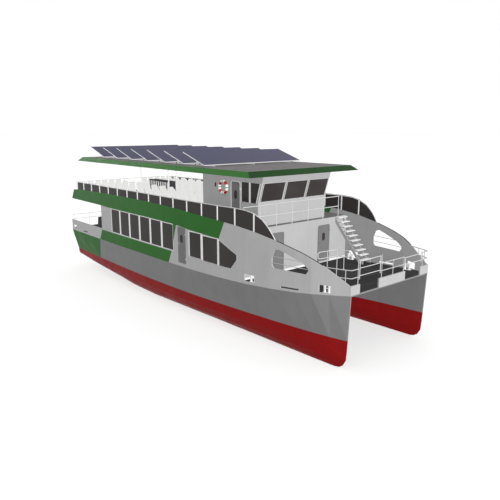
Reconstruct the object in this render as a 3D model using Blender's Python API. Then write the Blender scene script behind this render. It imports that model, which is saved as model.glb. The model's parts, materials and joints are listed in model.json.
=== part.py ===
"""Passenger ferry with two hulls, two decks, a wheelhouse and a solar roof.

Metres, +X towards the bow, +Y to port, +Z up. The origin lies under the middle of the
vessel, on the plane of its two flat keels.
"""

import math

import bmesh
import bpy
import numpy as np
from mathutils import Matrix, Vector

# Driving dimensions
BOW_X = 12.5
STERN_X = -12.5
HULL_Y = 2.80
WATERLINE_Z = 1.32
MAIN_DECK_Z = 2.88
UPPER_DECK_Z = 5.26
UPPER_DECK_THICK = 0.12
UPPER_DECK_AFT_X = -12.15
ROOF_Z = 7.76
ROOF_THICK = 0.254
CABIN_AFT_X = -7.42
CABIN_FRONT_X = 6.74
BULWARK_AFT_Z = 3.48
PLATE = 0.05
GAP = 0.0003
SIDES = (("starboard", -1), ("port", 1))

# Hull stations: x, half breadth at the knuckle, outboard and inboard half widths of one
# hull at the waterline, keel height, knuckle height, fullness of the bottom
STATIONS = (
    (12.5, 2.83, 0.03, 0.03, 0.00, 3.28, 0.0),
    (11.6, 3.12, 0.20, 0.10, 0.00, 3.18, 0.0),
    (10.8, 3.37, 0.33, 0.18, 0.00, 3.10, 0.0),
    (10.0, 3.52, 0.44, 0.26, 0.00, 3.02, 0.0),
    (8.6, 3.71, 0.59, 0.48, 0.00, 2.92, 0.0),
    (7.0, 3.84, 0.73, 0.62, 0.00, 2.83, 0.0),
    (5.0, 3.915, 0.875, 0.74, 0.00, 2.76, 0.0),
    (3.0, 3.945, 0.99, 0.80, 0.00, 2.725, 0.0),
    (0.9, 3.96, 1.04, 0.82, 0.00, 2.72, 0.05),
    (-2.0, 3.935, 1.03, 0.82, 0.00, 2.72, 0.15),
    (-4.4, 3.90, 0.97, 0.80, 0.12, 2.72, 0.30),
    (-6.0, 3.86, 0.90, 0.78, 0.32, 2.72, 0.45),
    (-8.0, 3.81, 0.81, 0.74, 0.52, 2.72, 0.65),
    (-10.0, 3.755, 0.68, 0.66, 0.69, 2.72, 0.85),
    (-11.4, 3.71, 0.58, 0.58, 0.82, 2.72, 0.95),
    (-12.5, 3.68, 0.53, 0.54, 0.90, 2.72, 1.0),
)
STATION_X = [row[0] for row in reversed(STATIONS)]

# Under water, each level is a share of the draught with the share of the half width that
# a fine section and a full section have there
BOTTOM_LEVELS = (
    (1.0, 1.0, 1.0),
    (0.606, 0.89, 0.985),
    (0.318, 0.70, 0.96),
    (0.121, 0.42, 0.90),
    (0.038, 0.22, 0.85),
    (0.0, 0.11, 0.80),
)
STEM_RAKE = 0.051
FOREFOOT_RADIUS = 0.56
TRANSOM_RAKE = 0.05

# Deck height along the vessel: x, height
DECK_SHEER = (
    (12.5, 3.32),
    (11.6, 3.22),
    (10.8, 3.14),
    (10.0, 3.06),
    (8.6, 2.96),
    (7.0, 2.89),
    (6.74, 2.88),
    (-12.5, 2.88),
)

# Underside of the bridge between the hulls: x, height
WET_DECK = ((12.42, 3.20), (8.6, 2.40), (7.0, 2.30), (-11.4, 2.30))

# Edges of the upper side: x, height
BAND_TOP = (
    (-11.75, 5.70),
    (-10.0, 5.79),
    (-6.3, 5.86),
    (-3.6, 5.88),
    (-1.1, 5.87),
    (0.8, 5.83),
    (2.7, 5.73),
    (4.0, 5.66),
    (5.1, 5.60),
    (5.62, 5.56),
    (6.4, 5.51),
    (7.62, 5.37),
    (8.96, 5.14),
)
BAND_BOTTOM = (
    (-12.2, 5.03),
    (-7.4, 5.02),
    (-5.8, 4.98),
    (-1.1, 4.97),
    (1.4, 4.93),
    (2.8, 4.81),
    (5.19, 4.70),
)
BAND_AFT_TOP_X = -11.75
BAND_AFT_BOTTOM_X = -12.2
BAND_FRONT_TOP_X = 5.62
BAND_FRONT_BOTTOM_X = 5.19
WING_TOP = (
    (8.96, 5.14),
    (9.62, 4.99),
    (10.24, 4.83),
    (10.69, 4.68),
    (11.12, 4.49),
    (11.49, 4.29),
    (11.82, 4.09),
    (12.15, 3.89),
    (12.46, 3.68),
)
GLASS_TOP = (
    (-11.2, 6.27),
    (-8.68, 6.30),
    (-2.28, 6.32),
    (5.12, 6.31),
    (6.39, 6.32),
    (7.1, 6.29),
    (7.62, 6.20),
    (8.15, 5.97),
    (8.51, 5.66),
    (8.75, 5.38),
    (8.90, 5.17),
)

# Openings in the sides
SIDE_WINDOW_SILL_Z = 3.50
SIDE_WINDOW_FIRST_X = -5.87
SIDE_WINDOW_PITCH = 1.22
SIDE_WINDOW_WIDTH = 1.02
SIDE_WINDOW_COUNT = 6
WINDOW_HEAD = 0.05
FORWARD_WINDOWS = ((2.80, 3.74, 3.44), (3.94, 5.08, 3.40))
POINTED_WINDOW = ((5.24, 3.38), (6.08, 3.39), (6.50, 3.88), (6.50, 4.10), (5.24, 4.62))
SIDE_DOOR = (1.67, 2.43, 2.90, 4.86)
WING_OPENING = (
    (8.84, 3.90),
    (10.54, 3.90),
    (10.70, 4.14),
    (10.34, 4.38),
    (9.46, 4.68),
    (9.10, 4.78),
    (8.88, 4.70),
    (8.74, 4.38),
    (8.74, 4.02),
)
WING_RAIL_Z = (4.13, 4.42)
MOORING_PORTS = ((11.15, 11.66, 3.24, 3.57), (7.03, 7.68, 2.96, 3.32))
FREEING_PORT = ((9.22, 3.07), (10.20, 3.13), (10.20, 3.21), (9.22, 3.15))
AFT_PORTS = ((-12.2, -11.7, 2.90, 3.12), (-10.6, -9.8, 2.84, 2.92))

# Rails
RAIL_RADIUS = 0.022
POST_RADIUS = 0.018
BOW_RAIL_X = 12.46
BOW_RAIL_Z = (4.34, 4.00)
BOW_PLATE_TOP_Z = 3.68
BOW_PLATE_X = (12.41, 12.48)
BOW_PLATE_Y = (2.22, 2.84)
BOW_CENTRE_PLATE_Y = (-0.92, 1.0)
BOW_CENTRE_POSTS_Y = (-0.76, 0.065, 0.875)
GATE_POST_Y = 2.36
GATES = {"starboard": (-2.26, -0.86, (4.66, 4.36, 4.04), 4.72), "port": (2.26, 0.98, (4.30, 3.99), 4.37)}
GATE_FOOT_Z = 3.9123
FRONT_RAIL_X = 6.72
FRONT_RAIL_Z = (6.35, 5.82)
FRONT_RAIL_POSTS_Y = (-3.60, -2.58, -1.50, -0.42, 0.75, 1.88, 3.12)
GUARD_POST_X = [-11.2] + [-10.02 + 1.26 * i for i in range(15)]
STERN_RAIL_X = -12.36
STERN_RAIL_Z = (3.82, 3.50)

# Doors
DOOR_THICK = 0.04
DOOR_RECESS = 0.005
HINGE_OUT = 0.03
HINGE_RADIUS = 0.012
HINGE_HALF = 0.05
LEAF = 0.06
JAMB_CLEAR = 0.010
LATCH_CLEAR = 0.012
SILL_CLEAR = 0.010
DOOR_CORNER = 0.10
FRONT_DOORS_Y = {"starboard": (-1.92, -0.98), "port": (1.50, 2.44)}
FRONT_DOOR_Z = (2.95, 4.92)
AFT_DOOR_Y = (-0.45, 0.45)
WHEEL_DOOR = (4.34, 5.02, 5.31, 7.34)

# Wheelhouse
WHEEL_AFT_X = 1.94
WHEEL_FRONT_X = 6.36
WHEEL_HALF = 2.40
WHEEL_SILL_Z = 6.44
WHEEL_RAKE = 0.302
WHEEL_FRONT_WINDOWS_Y = ((-2.30, -0.84), (-0.73, 0.73), (0.84, 2.30))
WHEEL_WINDOW_Z = (6.48, 7.34)
WHEEL_SIDE_WINDOW_Z = (6.40, 7.34)
WHEEL_SIDE_WINDOWS_X = ((5.18, 5.69, 5.69), (5.86, 6.20, 6.47))
PANE = 0.014

# Roof and solar panels
ROOF_LOW = (-10.5, 7.42, 3.846)
ROOF_TOP = (-10.16, 7.06, 3.624)
PILLARS = ((-8.7, 0.0), (-4.7, -0.31), (-4.7, 0.31))
PILLAR_RADIUS = 0.045
SOLAR_ROWS = 7
SOLAR_FIRST_X = 3.5
SOLAR_PITCH = 1.807
SOLAR_RUN = 1.864
SOLAR_LOW_Z = 8.13
SOLAR_RISE = 0.60
SOLAR_HALF = 3.44
SOLAR_THICK = 0.04
TRUSSES_Y = (-2.7, 0.0, 2.7)
TRUSS_WIDTH = 0.04
TRUSS_BAR = 0.05

# Seats
SEAT_PROFILE = ((-0.02, 0.39), (0.42, 0.39), (0.42, 0.45), (0.05, 0.45), (-0.08, 1.10), (-0.14, 1.08))
UPPER_SEAT_ROWS = [-10.0 + 0.97 * i for i in range(12)]
SEAT_Y = (0.80, 3.44)
SEAT_LEG_Y = (1.00, 3.24)
AFT_BENCH_X = (-8.0, -9.3)
LOCKER = ((-7.2, -0.28), (-4.79, 0.28), 6.52)

# Stairs
STAIR_Y = (2.86, 3.58)
STAIR_STEPS = 10
STAIR_TOP = (6.76, 5.24)
STAIR_RUN = 0.190
STAIR_TREAD = (0.25, 0.045)

# Propulsion
TUNNEL_HALF = 0.32
SHAFT_Z = 0.98
SHAFT_RADIUS = 0.035
PROP_X = -10.26
PROP_RADIUS = 0.27
RUDDER_X = -11.20
ROUND = 48

# Mooring bitts: side places, x of the two posts, y
CLEAT_STUBS_X = (-12.05, -11.85)
CLEAT_Z = 3.27
CLEAT_REACH = 0.12
BITTS = {"bow": (11.20, 11.44, 2.935), "side": (7.20, 7.47, 3.55)}


def along(table, x):
    """Height, or other second value, of a table of x and value at one x."""
    rows = sorted(table)
    return float(np.interp(x, [r[0] for r in rows], [r[1] for r in rows]))


def station_value(column, x):
    return along([(row[0], row[column]) for row in STATIONS], x)


def half_breadth(x):
    return station_value(1, x)


def knuckle_z(x):
    return station_value(5, x)


def deck_z(x):
    return along(DECK_SHEER, x)


def clear_scene():
    for item in list(bpy.data.objects):
        bpy.data.objects.remove(item, do_unlink=True)


def new_collection(name):
    made = bpy.data.collections.new(name)
    bpy.context.scene.collection.children.link(made)
    return made


clear_scene()
FERRY = new_collection("passenger_ferry")
CUTTERS = new_collection("cutters")


def finish(name, colour, roughness=0.5, metallic=0.0):
    found = bpy.data.materials.get(name)
    if found:
        return found
    made = bpy.data.materials.new(name)
    made.use_nodes = True
    shader = made.node_tree.nodes["Principled BSDF"]
    shader.inputs["Base Color"].default_value = (*colour, 1.0)
    shader.inputs["Roughness"].default_value = roughness
    shader.inputs["Metallic"].default_value = metallic
    return made


def hull_paint():
    return finish("hull_grey", (0.15, 0.15, 0.15), 0.45)


def wall_paint():
    return finish("wall_light_grey", (0.40, 0.40, 0.40), 0.5)


def green_paint():
    return finish("band_green", (0.02, 0.12, 0.02), 0.45)


def deck_paint():
    return finish("deck_dark", (0.03, 0.03, 0.03), 0.8)


def dark_glass():
    return finish("tinted_glass", (0.02, 0.018, 0.018), 0.1)


def rail_paint():
    return finish("rail_white", (0.60, 0.60, 0.60), 0.35)


def door_paint():
    return finish("door_grey", (0.22, 0.22, 0.22), 0.5)


def bronze():
    return finish("propeller_bronze", (0.40, 0.25, 0.10), 0.3, 1.0)


def solar_blue():
    return finish("solar_blue", (0.06, 0.06, 0.13), 0.2)


def seat_white():
    return finish("seat_white", (0.60, 0.60, 0.58), 0.5)


def buoy_red():
    return finish("buoy_red", (0.45, 0.02, 0.02), 0.5)


def closed(mesh, weld=1e-5):
    """Welds a mesh, turns its faces outwards and returns it."""
    work = bmesh.new()
    work.from_mesh(mesh)
    bmesh.ops.remove_doubles(work, verts=work.verts, dist=weld)
    bmesh.ops.recalc_face_normals(work, faces=work.faces)
    work.to_mesh(mesh)
    work.free()
    return mesh


def make(name, mesh, paint, helper=False):
    """An object for a node, or a hidden helper for a cut or a join."""
    made = bpy.data.objects.new(name, mesh)
    if helper:
        made.hide_render = True
        made.display_type = "WIRE"
        CUTTERS.objects.link(made)
        return made
    mesh.materials.clear()
    mesh.materials.append(paint)
    FERRY.objects.link(made)
    return made


def smooth(item, angle=0.6):
    item.data.shade_smooth()
    item.data.set_sharp_from_angle(angle=angle)
    return item


def combine(item, other, operation):
    step = item.modifiers.new(operation.lower(), "BOOLEAN")
    step.operation = operation
    step.solver = "EXACT"
    step.object = other
    return item


def cut(item, other):
    return combine(item, other, "DIFFERENCE")


def join(item, other):
    return combine(item, other, "UNION")


def boxes(name, spans, paint=None, turn=None):
    """One object of boxes, each a low and a high corner, or a helper if it has no paint."""
    work = bmesh.new()
    for low, high in spans:
        low, high = Vector(low), Vector(high)
        size = Matrix.Diagonal((*(high - low), 1.0))
        bmesh.ops.create_cube(work, size=1.0, matrix=Matrix.Translation((low + high) / 2) @ size)
    if turn:
        bmesh.ops.transform(work, matrix=turn, verts=work.verts)
    mesh = bpy.data.meshes.new(name)
    work.to_mesh(mesh)
    work.free()
    return make(name, closed(mesh), paint, helper=paint is None)


def cylinders(name, rods, paint=None, segments=16):
    """One object of cylinders, each from one centre to another with its radius."""
    work = bmesh.new()
    for start, end, radius in rods:
        start, end = Vector(start), Vector(end)
        turn = Vector((0, 0, 1)).rotation_difference(end - start).to_matrix().to_4x4()
        bmesh.ops.create_cone(
            work,
            cap_ends=True,
            segments=segments,
            radius1=radius,
            radius2=radius,
            depth=(end - start).length,
            matrix=Matrix.Translation((start + end) / 2) @ turn,
        )
    mesh = bpy.data.meshes.new(name)
    work.to_mesh(mesh)
    work.free()
    return make(name, closed(mesh), paint, helper=paint is None)


def curve_mesh(curve):
    """The closed mesh of a curve, which is then removed."""
    holder = bpy.data.objects.new("curve_holder", curve)
    bpy.context.scene.collection.objects.link(holder)
    graph = bpy.context.evaluated_depsgraph_get()
    mesh = bpy.data.meshes.new_from_object(holder.evaluated_get(graph))
    bpy.data.objects.remove(holder, do_unlink=True)
    return closed(mesh)


def tubes(name, paths, radius, paint=None):
    """Round tubes along straight stretches between the points of each path."""
    curve = bpy.data.curves.new(name, "CURVE")
    curve.dimensions = "3D"
    curve.bevel_depth = radius
    curve.bevel_resolution = 2
    curve.use_fill_caps = True
    for path in paths:
        spline = curve.splines.new("POLY")
        spline.points.add(len(path) - 1)
        for point, place in zip(spline.points, path):
            point.co = (*place, 1.0)
    return make(name, curve_mesh(curve), paint, helper=paint is None)


def sheet(name, outlines, thick, shape, paint=None, cuts=()):
    """A flat plate from closed outlines, the later ones its holes, bent by a function.

    The function takes the place along, the place up and the depth within the plate, from
    minus to plus half its thickness, and gives the point. Cuts are the places along where
    the plate may bend.
    """
    curve = bpy.data.curves.new(name, "CURVE")
    curve.dimensions = "2D"
    curve.fill_mode = "BOTH"
    curve.extrude = thick / 2
    for outline in outlines:
        spline = curve.splines.new("POLY")
        spline.use_cyclic_u = True
        spline.points.add(len(outline) - 1)
        for point, (u, v) in zip(spline.points, outline):
            point.co = (u, v, 0.0, 1.0)
    mesh = curve_mesh(curve)
    work = bmesh.new()
    work.from_mesh(mesh)
    for place in cuts:
        bmesh.ops.bisect_plane(
            work,
            geom=work.verts[:] + work.edges[:] + work.faces[:],
            dist=1e-5,
            plane_co=(place, 0, 0),
            plane_no=(1, 0, 0),
        )
    bmesh.ops.triangulate(work, faces=work.faces)
    for vert in work.verts:
        vert.co = shape(*vert.co)
    work.to_mesh(mesh)
    work.free()
    return make(name, closed(mesh), paint, helper=paint is None)


def side_shape(side, offset, thick):
    """Bends a plate to the vessel's side, its outer face an offset inboard of it."""

    def shape(u, v, w):
        return Vector((u, side * (half_breadth(u) - offset - thick / 2 + w), v))

    return shape


def side_sheet(name, outlines, side, offset, thick, paint=None):
    return sheet(name, outlines, thick, side_shape(side, offset, thick), paint, STATION_X)


def rounded(points, radius, steps=4):
    """A closed outline with each corner replaced by an arc."""
    result = []
    count = len(points)
    for i, point in enumerate(points):
        here = Vector(point)
        back = (Vector(points[i - 1]) - here).normalized()
        ahead = (Vector(points[(i + 1) % count]) - here).normalized()
        half = math.acos(max(-1.0, min(1.0, back.dot(ahead)))) / 2
        if half > math.radians(80):
            result.append(tuple(here))
            continue
        reach = radius / math.tan(half)
        centre = here + (back + ahead).normalized() * (radius / math.sin(half))
        start = here + back * reach - centre
        end = here + ahead * reach - centre
        for k in range(steps + 1):
            share = k / steps
            arm = (start * (1 - share) + end * share).normalized() * radius
            result.append(tuple(centre + arm))
    return result


def rectangle(x0, x1, z0, z1):
    return [(x0, z0), (x1, z0), (x1, z1), (x0, z1)]


def door_outline(x0, x1, z0, z1, radius=DOOR_CORNER, steps=3):
    """A rectangle with its two top corners rounded."""
    outline = [(x0, z0), (x1, z0)]
    for centre, start in (((x1 - radius, z1 - radius), 0), ((x0 + radius, z1 - radius), 90)):
        for k in range(steps + 1):
            angle = math.radians(start + 90 * k / steps)
            outline.append((centre[0] + radius * math.cos(angle), centre[1] + radius * math.sin(angle)))
    return outline


def stretch(table, low, high, lift=0.0):
    """The points of a table between two x, with the two ends, each lifted."""
    inner = [x for x in sorted(row[0] for row in table) if low + 1e-6 < x < high - 1e-6]
    return [(x, along(table, x) + lift) for x in [low, *inner, high]]


def knuckle_line(low, high, lift=GAP):
    inner = [x for x in STATION_X if low + 1e-6 < x < high - 1e-6]
    return [(x, knuckle_z(x) + lift) for x in [low, *inner, high]]


# Hulls


def stem_x(z):
    """The stem's profile, which leans back a little and rounds into the keel."""
    top = BOW_X - (knuckle_z(BOW_X) - max(z, FOREFOOT_RADIUS)) * STEM_RAKE
    if z >= FOREFOOT_RADIUS:
        return top
    drop = (FOREFOOT_RADIUS - z) / FOREFOOT_RADIUS
    return top - FOREFOOT_RADIUS * (1 - math.sqrt(max(0.0, 1 - drop * drop)))


def transom_x(z):
    return STERN_X + (knuckle_z(STERN_X) - z) * TRANSOM_RAKE


def hull_ring(row, side):
    """One section of a hull, from its outboard edge down round the keel to the inboard edge."""
    x, breadth, outboard, inboard, keel, knuckle, full = row
    ring = [(breadth - HULL_Y, knuckle)]
    levels = [(keel + (WATERLINE_Z - keel) * up, fine + full * (wide - fine)) for up, fine, wide in BOTTOM_LEVELS]
    ring += [(outboard * share, z) for z, share in levels]
    ring += [(-inboard * share, z) for z, share in reversed(levels)]
    ring.append((-inboard, knuckle))

    def place(z):
        if x == BOW_X:
            return stem_x(z)
        return transom_x(z) if x == STERN_X else x

    return [(place(z), side * (HULL_Y + y), z) for y, z in ring]


def loft(name, rings, paint=None):
    """A closed solid through rings of equal numbers of points."""
    work = bmesh.new()
    made = [[work.verts.new(point) for point in ring] for ring in rings]
    for one, two in zip(made, made[1:]):
        count = len(one)
        for i in range(count):
            j = (i + 1) % count
            work.faces.new((one[i], one[j], two[j], two[i]))
    work.faces.new(made[0])
    work.faces.new(made[-1])
    bmesh.ops.triangulate(work, faces=work.faces)
    mesh = bpy.data.meshes.new(name)
    work.to_mesh(mesh)
    work.free()
    return make(name, closed(mesh), paint, helper=paint is None)


def tunnel_ring(x, side, lower):
    """A section of the propeller tunnel: an arch on straight sides, lowered towards its front."""
    arc = [
        (TUNNEL_HALF * math.cos(math.pi * k / 10), SHAFT_Z - lower + TUNNEL_HALF * math.sin(math.pi * k / 10))
        for k in range(11)
    ]
    outline = [(TUNNEL_HALF, -1.5), *arc, (-TUNNEL_HALF, -1.5)]
    return [(x, side * HULL_Y + y, z) for y, z in outline]


def hull(name, side):
    body = loft(name, [hull_ring(row, side) for row in STATIONS], hull_paint())
    rings = [tunnel_ring(-13.5, side, 0.0), tunnel_ring(-9.6, side, 0.0), tunnel_ring(-7.5, side, 1.0)]
    cut(body, loft(name + "_tunnel", rings))
    y = side * HULL_Y
    bosses = [
        ((-8.6, y, SHAFT_Z), (-9.75, y, SHAFT_Z), 0.055),
        ((-9.94, y, SHAFT_Z), (-10.10, y, SHAFT_Z), 0.060),
        ((RUDDER_X, y, SHAFT_Z + 0.27), (RUDDER_X, y, SHAFT_Z + 0.40), 0.055),
    ]
    join(body, cylinders(name + "_bosses", bosses, segments=24))
    arms = [
        ((-9.97, y - 0.012, SHAFT_Z + 0.045), (-10.07, y + 0.012, SHAFT_Z + 0.40)),
    ]
    join(body, boxes(name + "_strut", arms))
    bore = [((-9.90, y, SHAFT_Z), (-10.14, y, SHAFT_Z), SHAFT_RADIUS + 0.0007)]
    cut(body, cylinders(name + "_bore", bore, segments=ROUND))
    return body


def propeller(name, side):
    """Shaft, hub and four blades, turning about the shaft."""
    y = side * HULL_Y
    rods = [
        ((-9.7504, y, SHAFT_Z), (PROP_X, y, SHAFT_Z), SHAFT_RADIUS),
    ]
    wheel = cylinders(name, rods, bronze(), ROUND)
    hub = cylinders(name + "_hub", [((-10.16, y, SHAFT_Z), (-10.36, y, SHAFT_Z), 0.062)], segments=24)
    join(wheel, hub)
    blades = []
    for k in range(4):
        blades.append(blade(name + "_blade", y, math.pi / 2 * k + math.pi / 4, side))
    work = bmesh.new()
    for item in blades:
        work.from_mesh(item.data)
        bpy.data.objects.remove(item, do_unlink=True)
    mesh = bpy.data.meshes.new(name + "_blades")
    work.to_mesh(mesh)
    work.free()
    join(wheel, make(name + "_blades", mesh, None, helper=True))
    return smooth(wheel)


def blade(name, y, turn, hand):
    """A twisted blade through sections of radius, half chord and angle from the shaft's plane."""
    sections = ((0.045, 0.060, 58), (0.12, 0.085, 42), (0.20, 0.085, 30), (PROP_RADIUS, 0.030, 24))
    rings = []
    for radius, chord, angle in sections:
        twist = math.radians(90 - angle) * hand
        thick = 0.011 if radius < 0.25 else 0.006
        ring = []
        for along_chord, across in ((-chord, 0), (0, thick), (chord, 0), (0, -thick)):
            dx = along_chord * math.cos(twist) - across * math.sin(twist)
            side_step = along_chord * math.sin(twist) + across * math.cos(twist)
            point = Vector((dx, side_step, radius))
            point.rotate(Matrix.Rotation(turn, 3, "X"))
            ring.append(Vector((PROP_X, y, SHAFT_Z)) + point)
        rings.append(ring)
    return loft(name, rings)


def rudder(name, side):
    """A balanced blade with a lens section, hung on its stock."""
    y = side * HULL_Y
    half, ahead, behind = 0.032, 0.20, 0.38
    outline = [(ahead, 0.0), (0.14, half * 0.8), (0.04, half), (-0.15, half * 0.8), (-behind, 0.004)]
    outline += [(-behind, -0.004), (-0.15, -half * 0.8), (0.04, -half), (0.14, -half * 0.8)]

    def shape(u, v, w):
        return Vector((RUDDER_X + u, y + v, SHAFT_Z - 0.02 + w))

    made = sheet(name, [outline], 0.44, shape, bronze())
    stock = [((RUDDER_X, y, SHAFT_Z - 0.14), (RUDDER_X, y, SHAFT_Z + 0.27 - GAP), 0.026)]
    return join(made, cylinders(name + "_stock", stock))


def bridge_deck():
    """The structure that joins the hulls, its underside rising towards the bow."""
    rings = []
    for x, *_ in STATIONS:
        low_x = {BOW_X: BOW_X - 0.08, STERN_X: STERN_X + 0.15}.get(x, x)
        inner = HULL_Y - station_value(3, low_x) - GAP
        top = knuckle_z(low_x)
        low = along(WET_DECK, low_x)
        rings.append([(low_x, -inner, low), (low_x, inner, low), (low_x, inner, top), (low_x, -inner, top)])
    return loft("bridge_deck", rings, hull_paint())


def deck_outline(low, high, inset):
    inner = [x for x in STATION_X if low + 1e-6 < x < high - 1e-6]
    line = [low, *inner, high]
    return [(x, -(half_breadth(x) - inset)) for x in line] + [(x, half_breadth(x) - inset) for x in reversed(line)]


def main_deck():
    """The main deck with the benches aft."""
    inset = PLATE + GAP

    def shape(u, v, w):
        low, high = knuckle_z(u) + GAP, deck_z(u)
        return Vector((u, v, low if w < 0 else high))

    cuts = [*STATION_X, CABIN_FRONT_X]
    outline = deck_outline(-12.46, BOW_PLATE_X[0] - GAP, inset)
    made = sheet("main_deck", [outline], 0.1, shape, deck_paint(), cuts)
    for name, side in SIDES:
        join(made, seat_rows("aft_benches_" + name, AFT_BENCH_X, side, (0.9, 3.2), MAIN_DECK_Z - 0.005, -1))
        legs = seat_legs(AFT_BENCH_X, side, (1.1, 3.0), MAIN_DECK_Z - 0.005, -1)
        join(made, boxes("aft_bench_legs_" + name, legs))
    return made


def bitts(name, place, side):
    """Two mooring posts with a bar between them, on a plate that follows the deck."""
    first, last, y = BITTS[place]
    y *= side

    def shape(u, v, w):
        return Vector((u, y + v, deck_z(u) + GAP + (0.014 if w > 0 else 0.0)))

    plate = [(first - 0.10, -0.07), (last + 0.10, -0.07), (last + 0.10, 0.07), (first - 0.10, 0.07)]
    made = sheet(name, [plate], 0.1, shape, finish("bitts_grey", (0.45, 0.45, 0.45), 0.5), STATION_X)
    posts = [((x, y, deck_z(x) + 0.006), (x, y, deck_z(x) + 0.30), 0.055) for x in (first, last)]
    posts.append(((first, y, deck_z(first) + 0.18), (last, y, deck_z(last) + 0.18), 0.022))
    join(made, cylinders(name + "_posts", posts, segments=16))
    caps = [((x, y, deck_z(x) + 0.285), (x, y, deck_z(x) + 0.31), 0.068) for x in (first, last)]
    return smooth(join(made, cylinders(name + "_caps", caps, segments=16)))


def seat_rows(name, rows, side, span, floor, facing, paint=None):
    """Rows of seats side by side as one helper or node, each row an extruded profile."""
    low, high = span
    work = bmesh.new()
    for x in rows:

        def shape(u, v, w, x=x):
            return Vector((x + facing * u, side * (low + high) / 2 + w, floor + v))

        row = sheet("seat_row", [SEAT_PROFILE], high - low, shape)
        work.from_mesh(row.data)
        bpy.data.objects.remove(row, do_unlink=True)
    mesh = bpy.data.meshes.new(name)
    work.to_mesh(mesh)
    work.free()
    return make(name, mesh, paint, helper=paint is None)


def seat_legs(rows, side, places, floor, facing):
    legs = []
    for x in rows:
        near, far = sorted((x + facing * 0.06, x + facing * 0.30))
        for y in places:
            legs.append(((near, side * y - 0.02, floor + 0.001), (far, side * y + 0.02, floor + 0.42)))
    return legs


def upper_seats(name, side):
    """Rows of seats on two floor tracks."""
    floor = UPPER_DECK_Z + GAP
    made = seat_rows(name, UPPER_SEAT_ROWS, side, SEAT_Y, floor, 1, seat_white())
    join(made, boxes(name + "_legs", seat_legs(UPPER_SEAT_ROWS, side, SEAT_LEG_Y, floor, 1)))
    first, last = UPPER_SEAT_ROWS[0], UPPER_SEAT_ROWS[-1] + 0.40
    tracks = [((first, side * y - 0.03, floor), (last, side * y + 0.03, floor + 0.012)) for y in SEAT_LEG_Y]
    return join(made, boxes(name + "_tracks", tracks))


# Sides of the main deck


def window_outlines():
    outlines = []
    for i in range(SIDE_WINDOW_COUNT):
        x = SIDE_WINDOW_FIRST_X + i * SIDE_WINDOW_PITCH
        head = along(BAND_BOTTOM, x + SIDE_WINDOW_WIDTH) - WINDOW_HEAD
        outlines.append(rectangle(x, x + SIDE_WINDOW_WIDTH, SIDE_WINDOW_SILL_Z, head))
    for low, high, sill in FORWARD_WINDOWS:
        outlines.append(rectangle(low, high, sill, along(BAND_BOTTOM, high) - WINDOW_HEAD))
    outlines.append(list(POINTED_WINDOW))
    return outlines


def cabin_side(name, side):
    """The side of the cabin, with its windows and its doorway."""
    front = CABIN_FRONT_X
    top = stretch(BAND_TOP, BAND_FRONT_TOP_X + GAP, front)
    under = stretch(BAND_BOTTOM, CABIN_AFT_X, BAND_FRONT_BOTTOM_X + GAP, -GAP)
    outline = [*knuckle_line(CABIN_AFT_X, front), *reversed(top), *reversed(under)]
    doorway = door_outline(*SIDE_DOOR)
    return side_sheet(name, [outline, doorway, *window_outlines()], side, 0.0, PLATE, wall_paint())


def cabin_windows(name, side):
    """One dark sheet behind the side, stepped over the doorway."""
    aft, front, top = -5.97, 6.62, 5.02
    door_aft, door_front = SIDE_DOOR[0] - 0.13, SIDE_DOOR[1] + 0.15
    outline = [(aft, 3.40), (door_aft, 3.40), (door_aft, 4.92), (door_front, 4.92), (door_front, 3.30)]
    outline += [(front, 3.30), (front, 4.86), (door_front + 0.25, 4.86), (door_front + 0.25, top), (aft, top)]
    return side_sheet(name, [outline], side, PLATE + GAP, PANE, dark_glass())


def upper_band(name, side):
    """The band that edges the upper deck, slanted at both ends."""
    top = stretch(BAND_TOP, BAND_AFT_TOP_X, BAND_FRONT_TOP_X)
    under = stretch(BAND_BOTTOM, BAND_AFT_BOTTOM_X, BAND_FRONT_BOTTOM_X)
    return side_sheet(name, [[*under, *reversed(top)]], side, 0.0, PLATE, green_paint())


def aft_bulwark(name, side):
    low, high = -12.46, CABIN_AFT_X - GAP
    outline = [*knuckle_line(low, high), (high, BULWARK_AFT_Z), (low, BULWARK_AFT_Z)]
    ports = [rectangle(*port) for port in AFT_PORTS]
    made = side_sheet(name, [outline, *ports], side, 0.0, PLATE, wall_paint())
    z, reach = CLEAT_Z, CLEAT_REACH
    stubs = []
    for x in CLEAT_STUBS_X:
        y = side * (half_breadth(x) - PLATE)
        stubs.append(((x, y + side * 0.02, z), (x, y - side * reach, z), 0.022))
    join(made, cylinders(name + "_cleat_stubs", stubs))
    y = side * (half_breadth(CLEAT_STUBS_X[0]) - PLATE - reach)
    first, last = CLEAT_STUBS_X[0] - 0.14, CLEAT_STUBS_X[-1] + 0.14
    return join(made, cylinders(name + "_cleat_bar", [((first, y, z), (last, y, z), 0.028)]))


def side_point(side, x, z, offset=PLATE / 2):
    return (x, side * (half_breadth(x) - offset), z)


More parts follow.
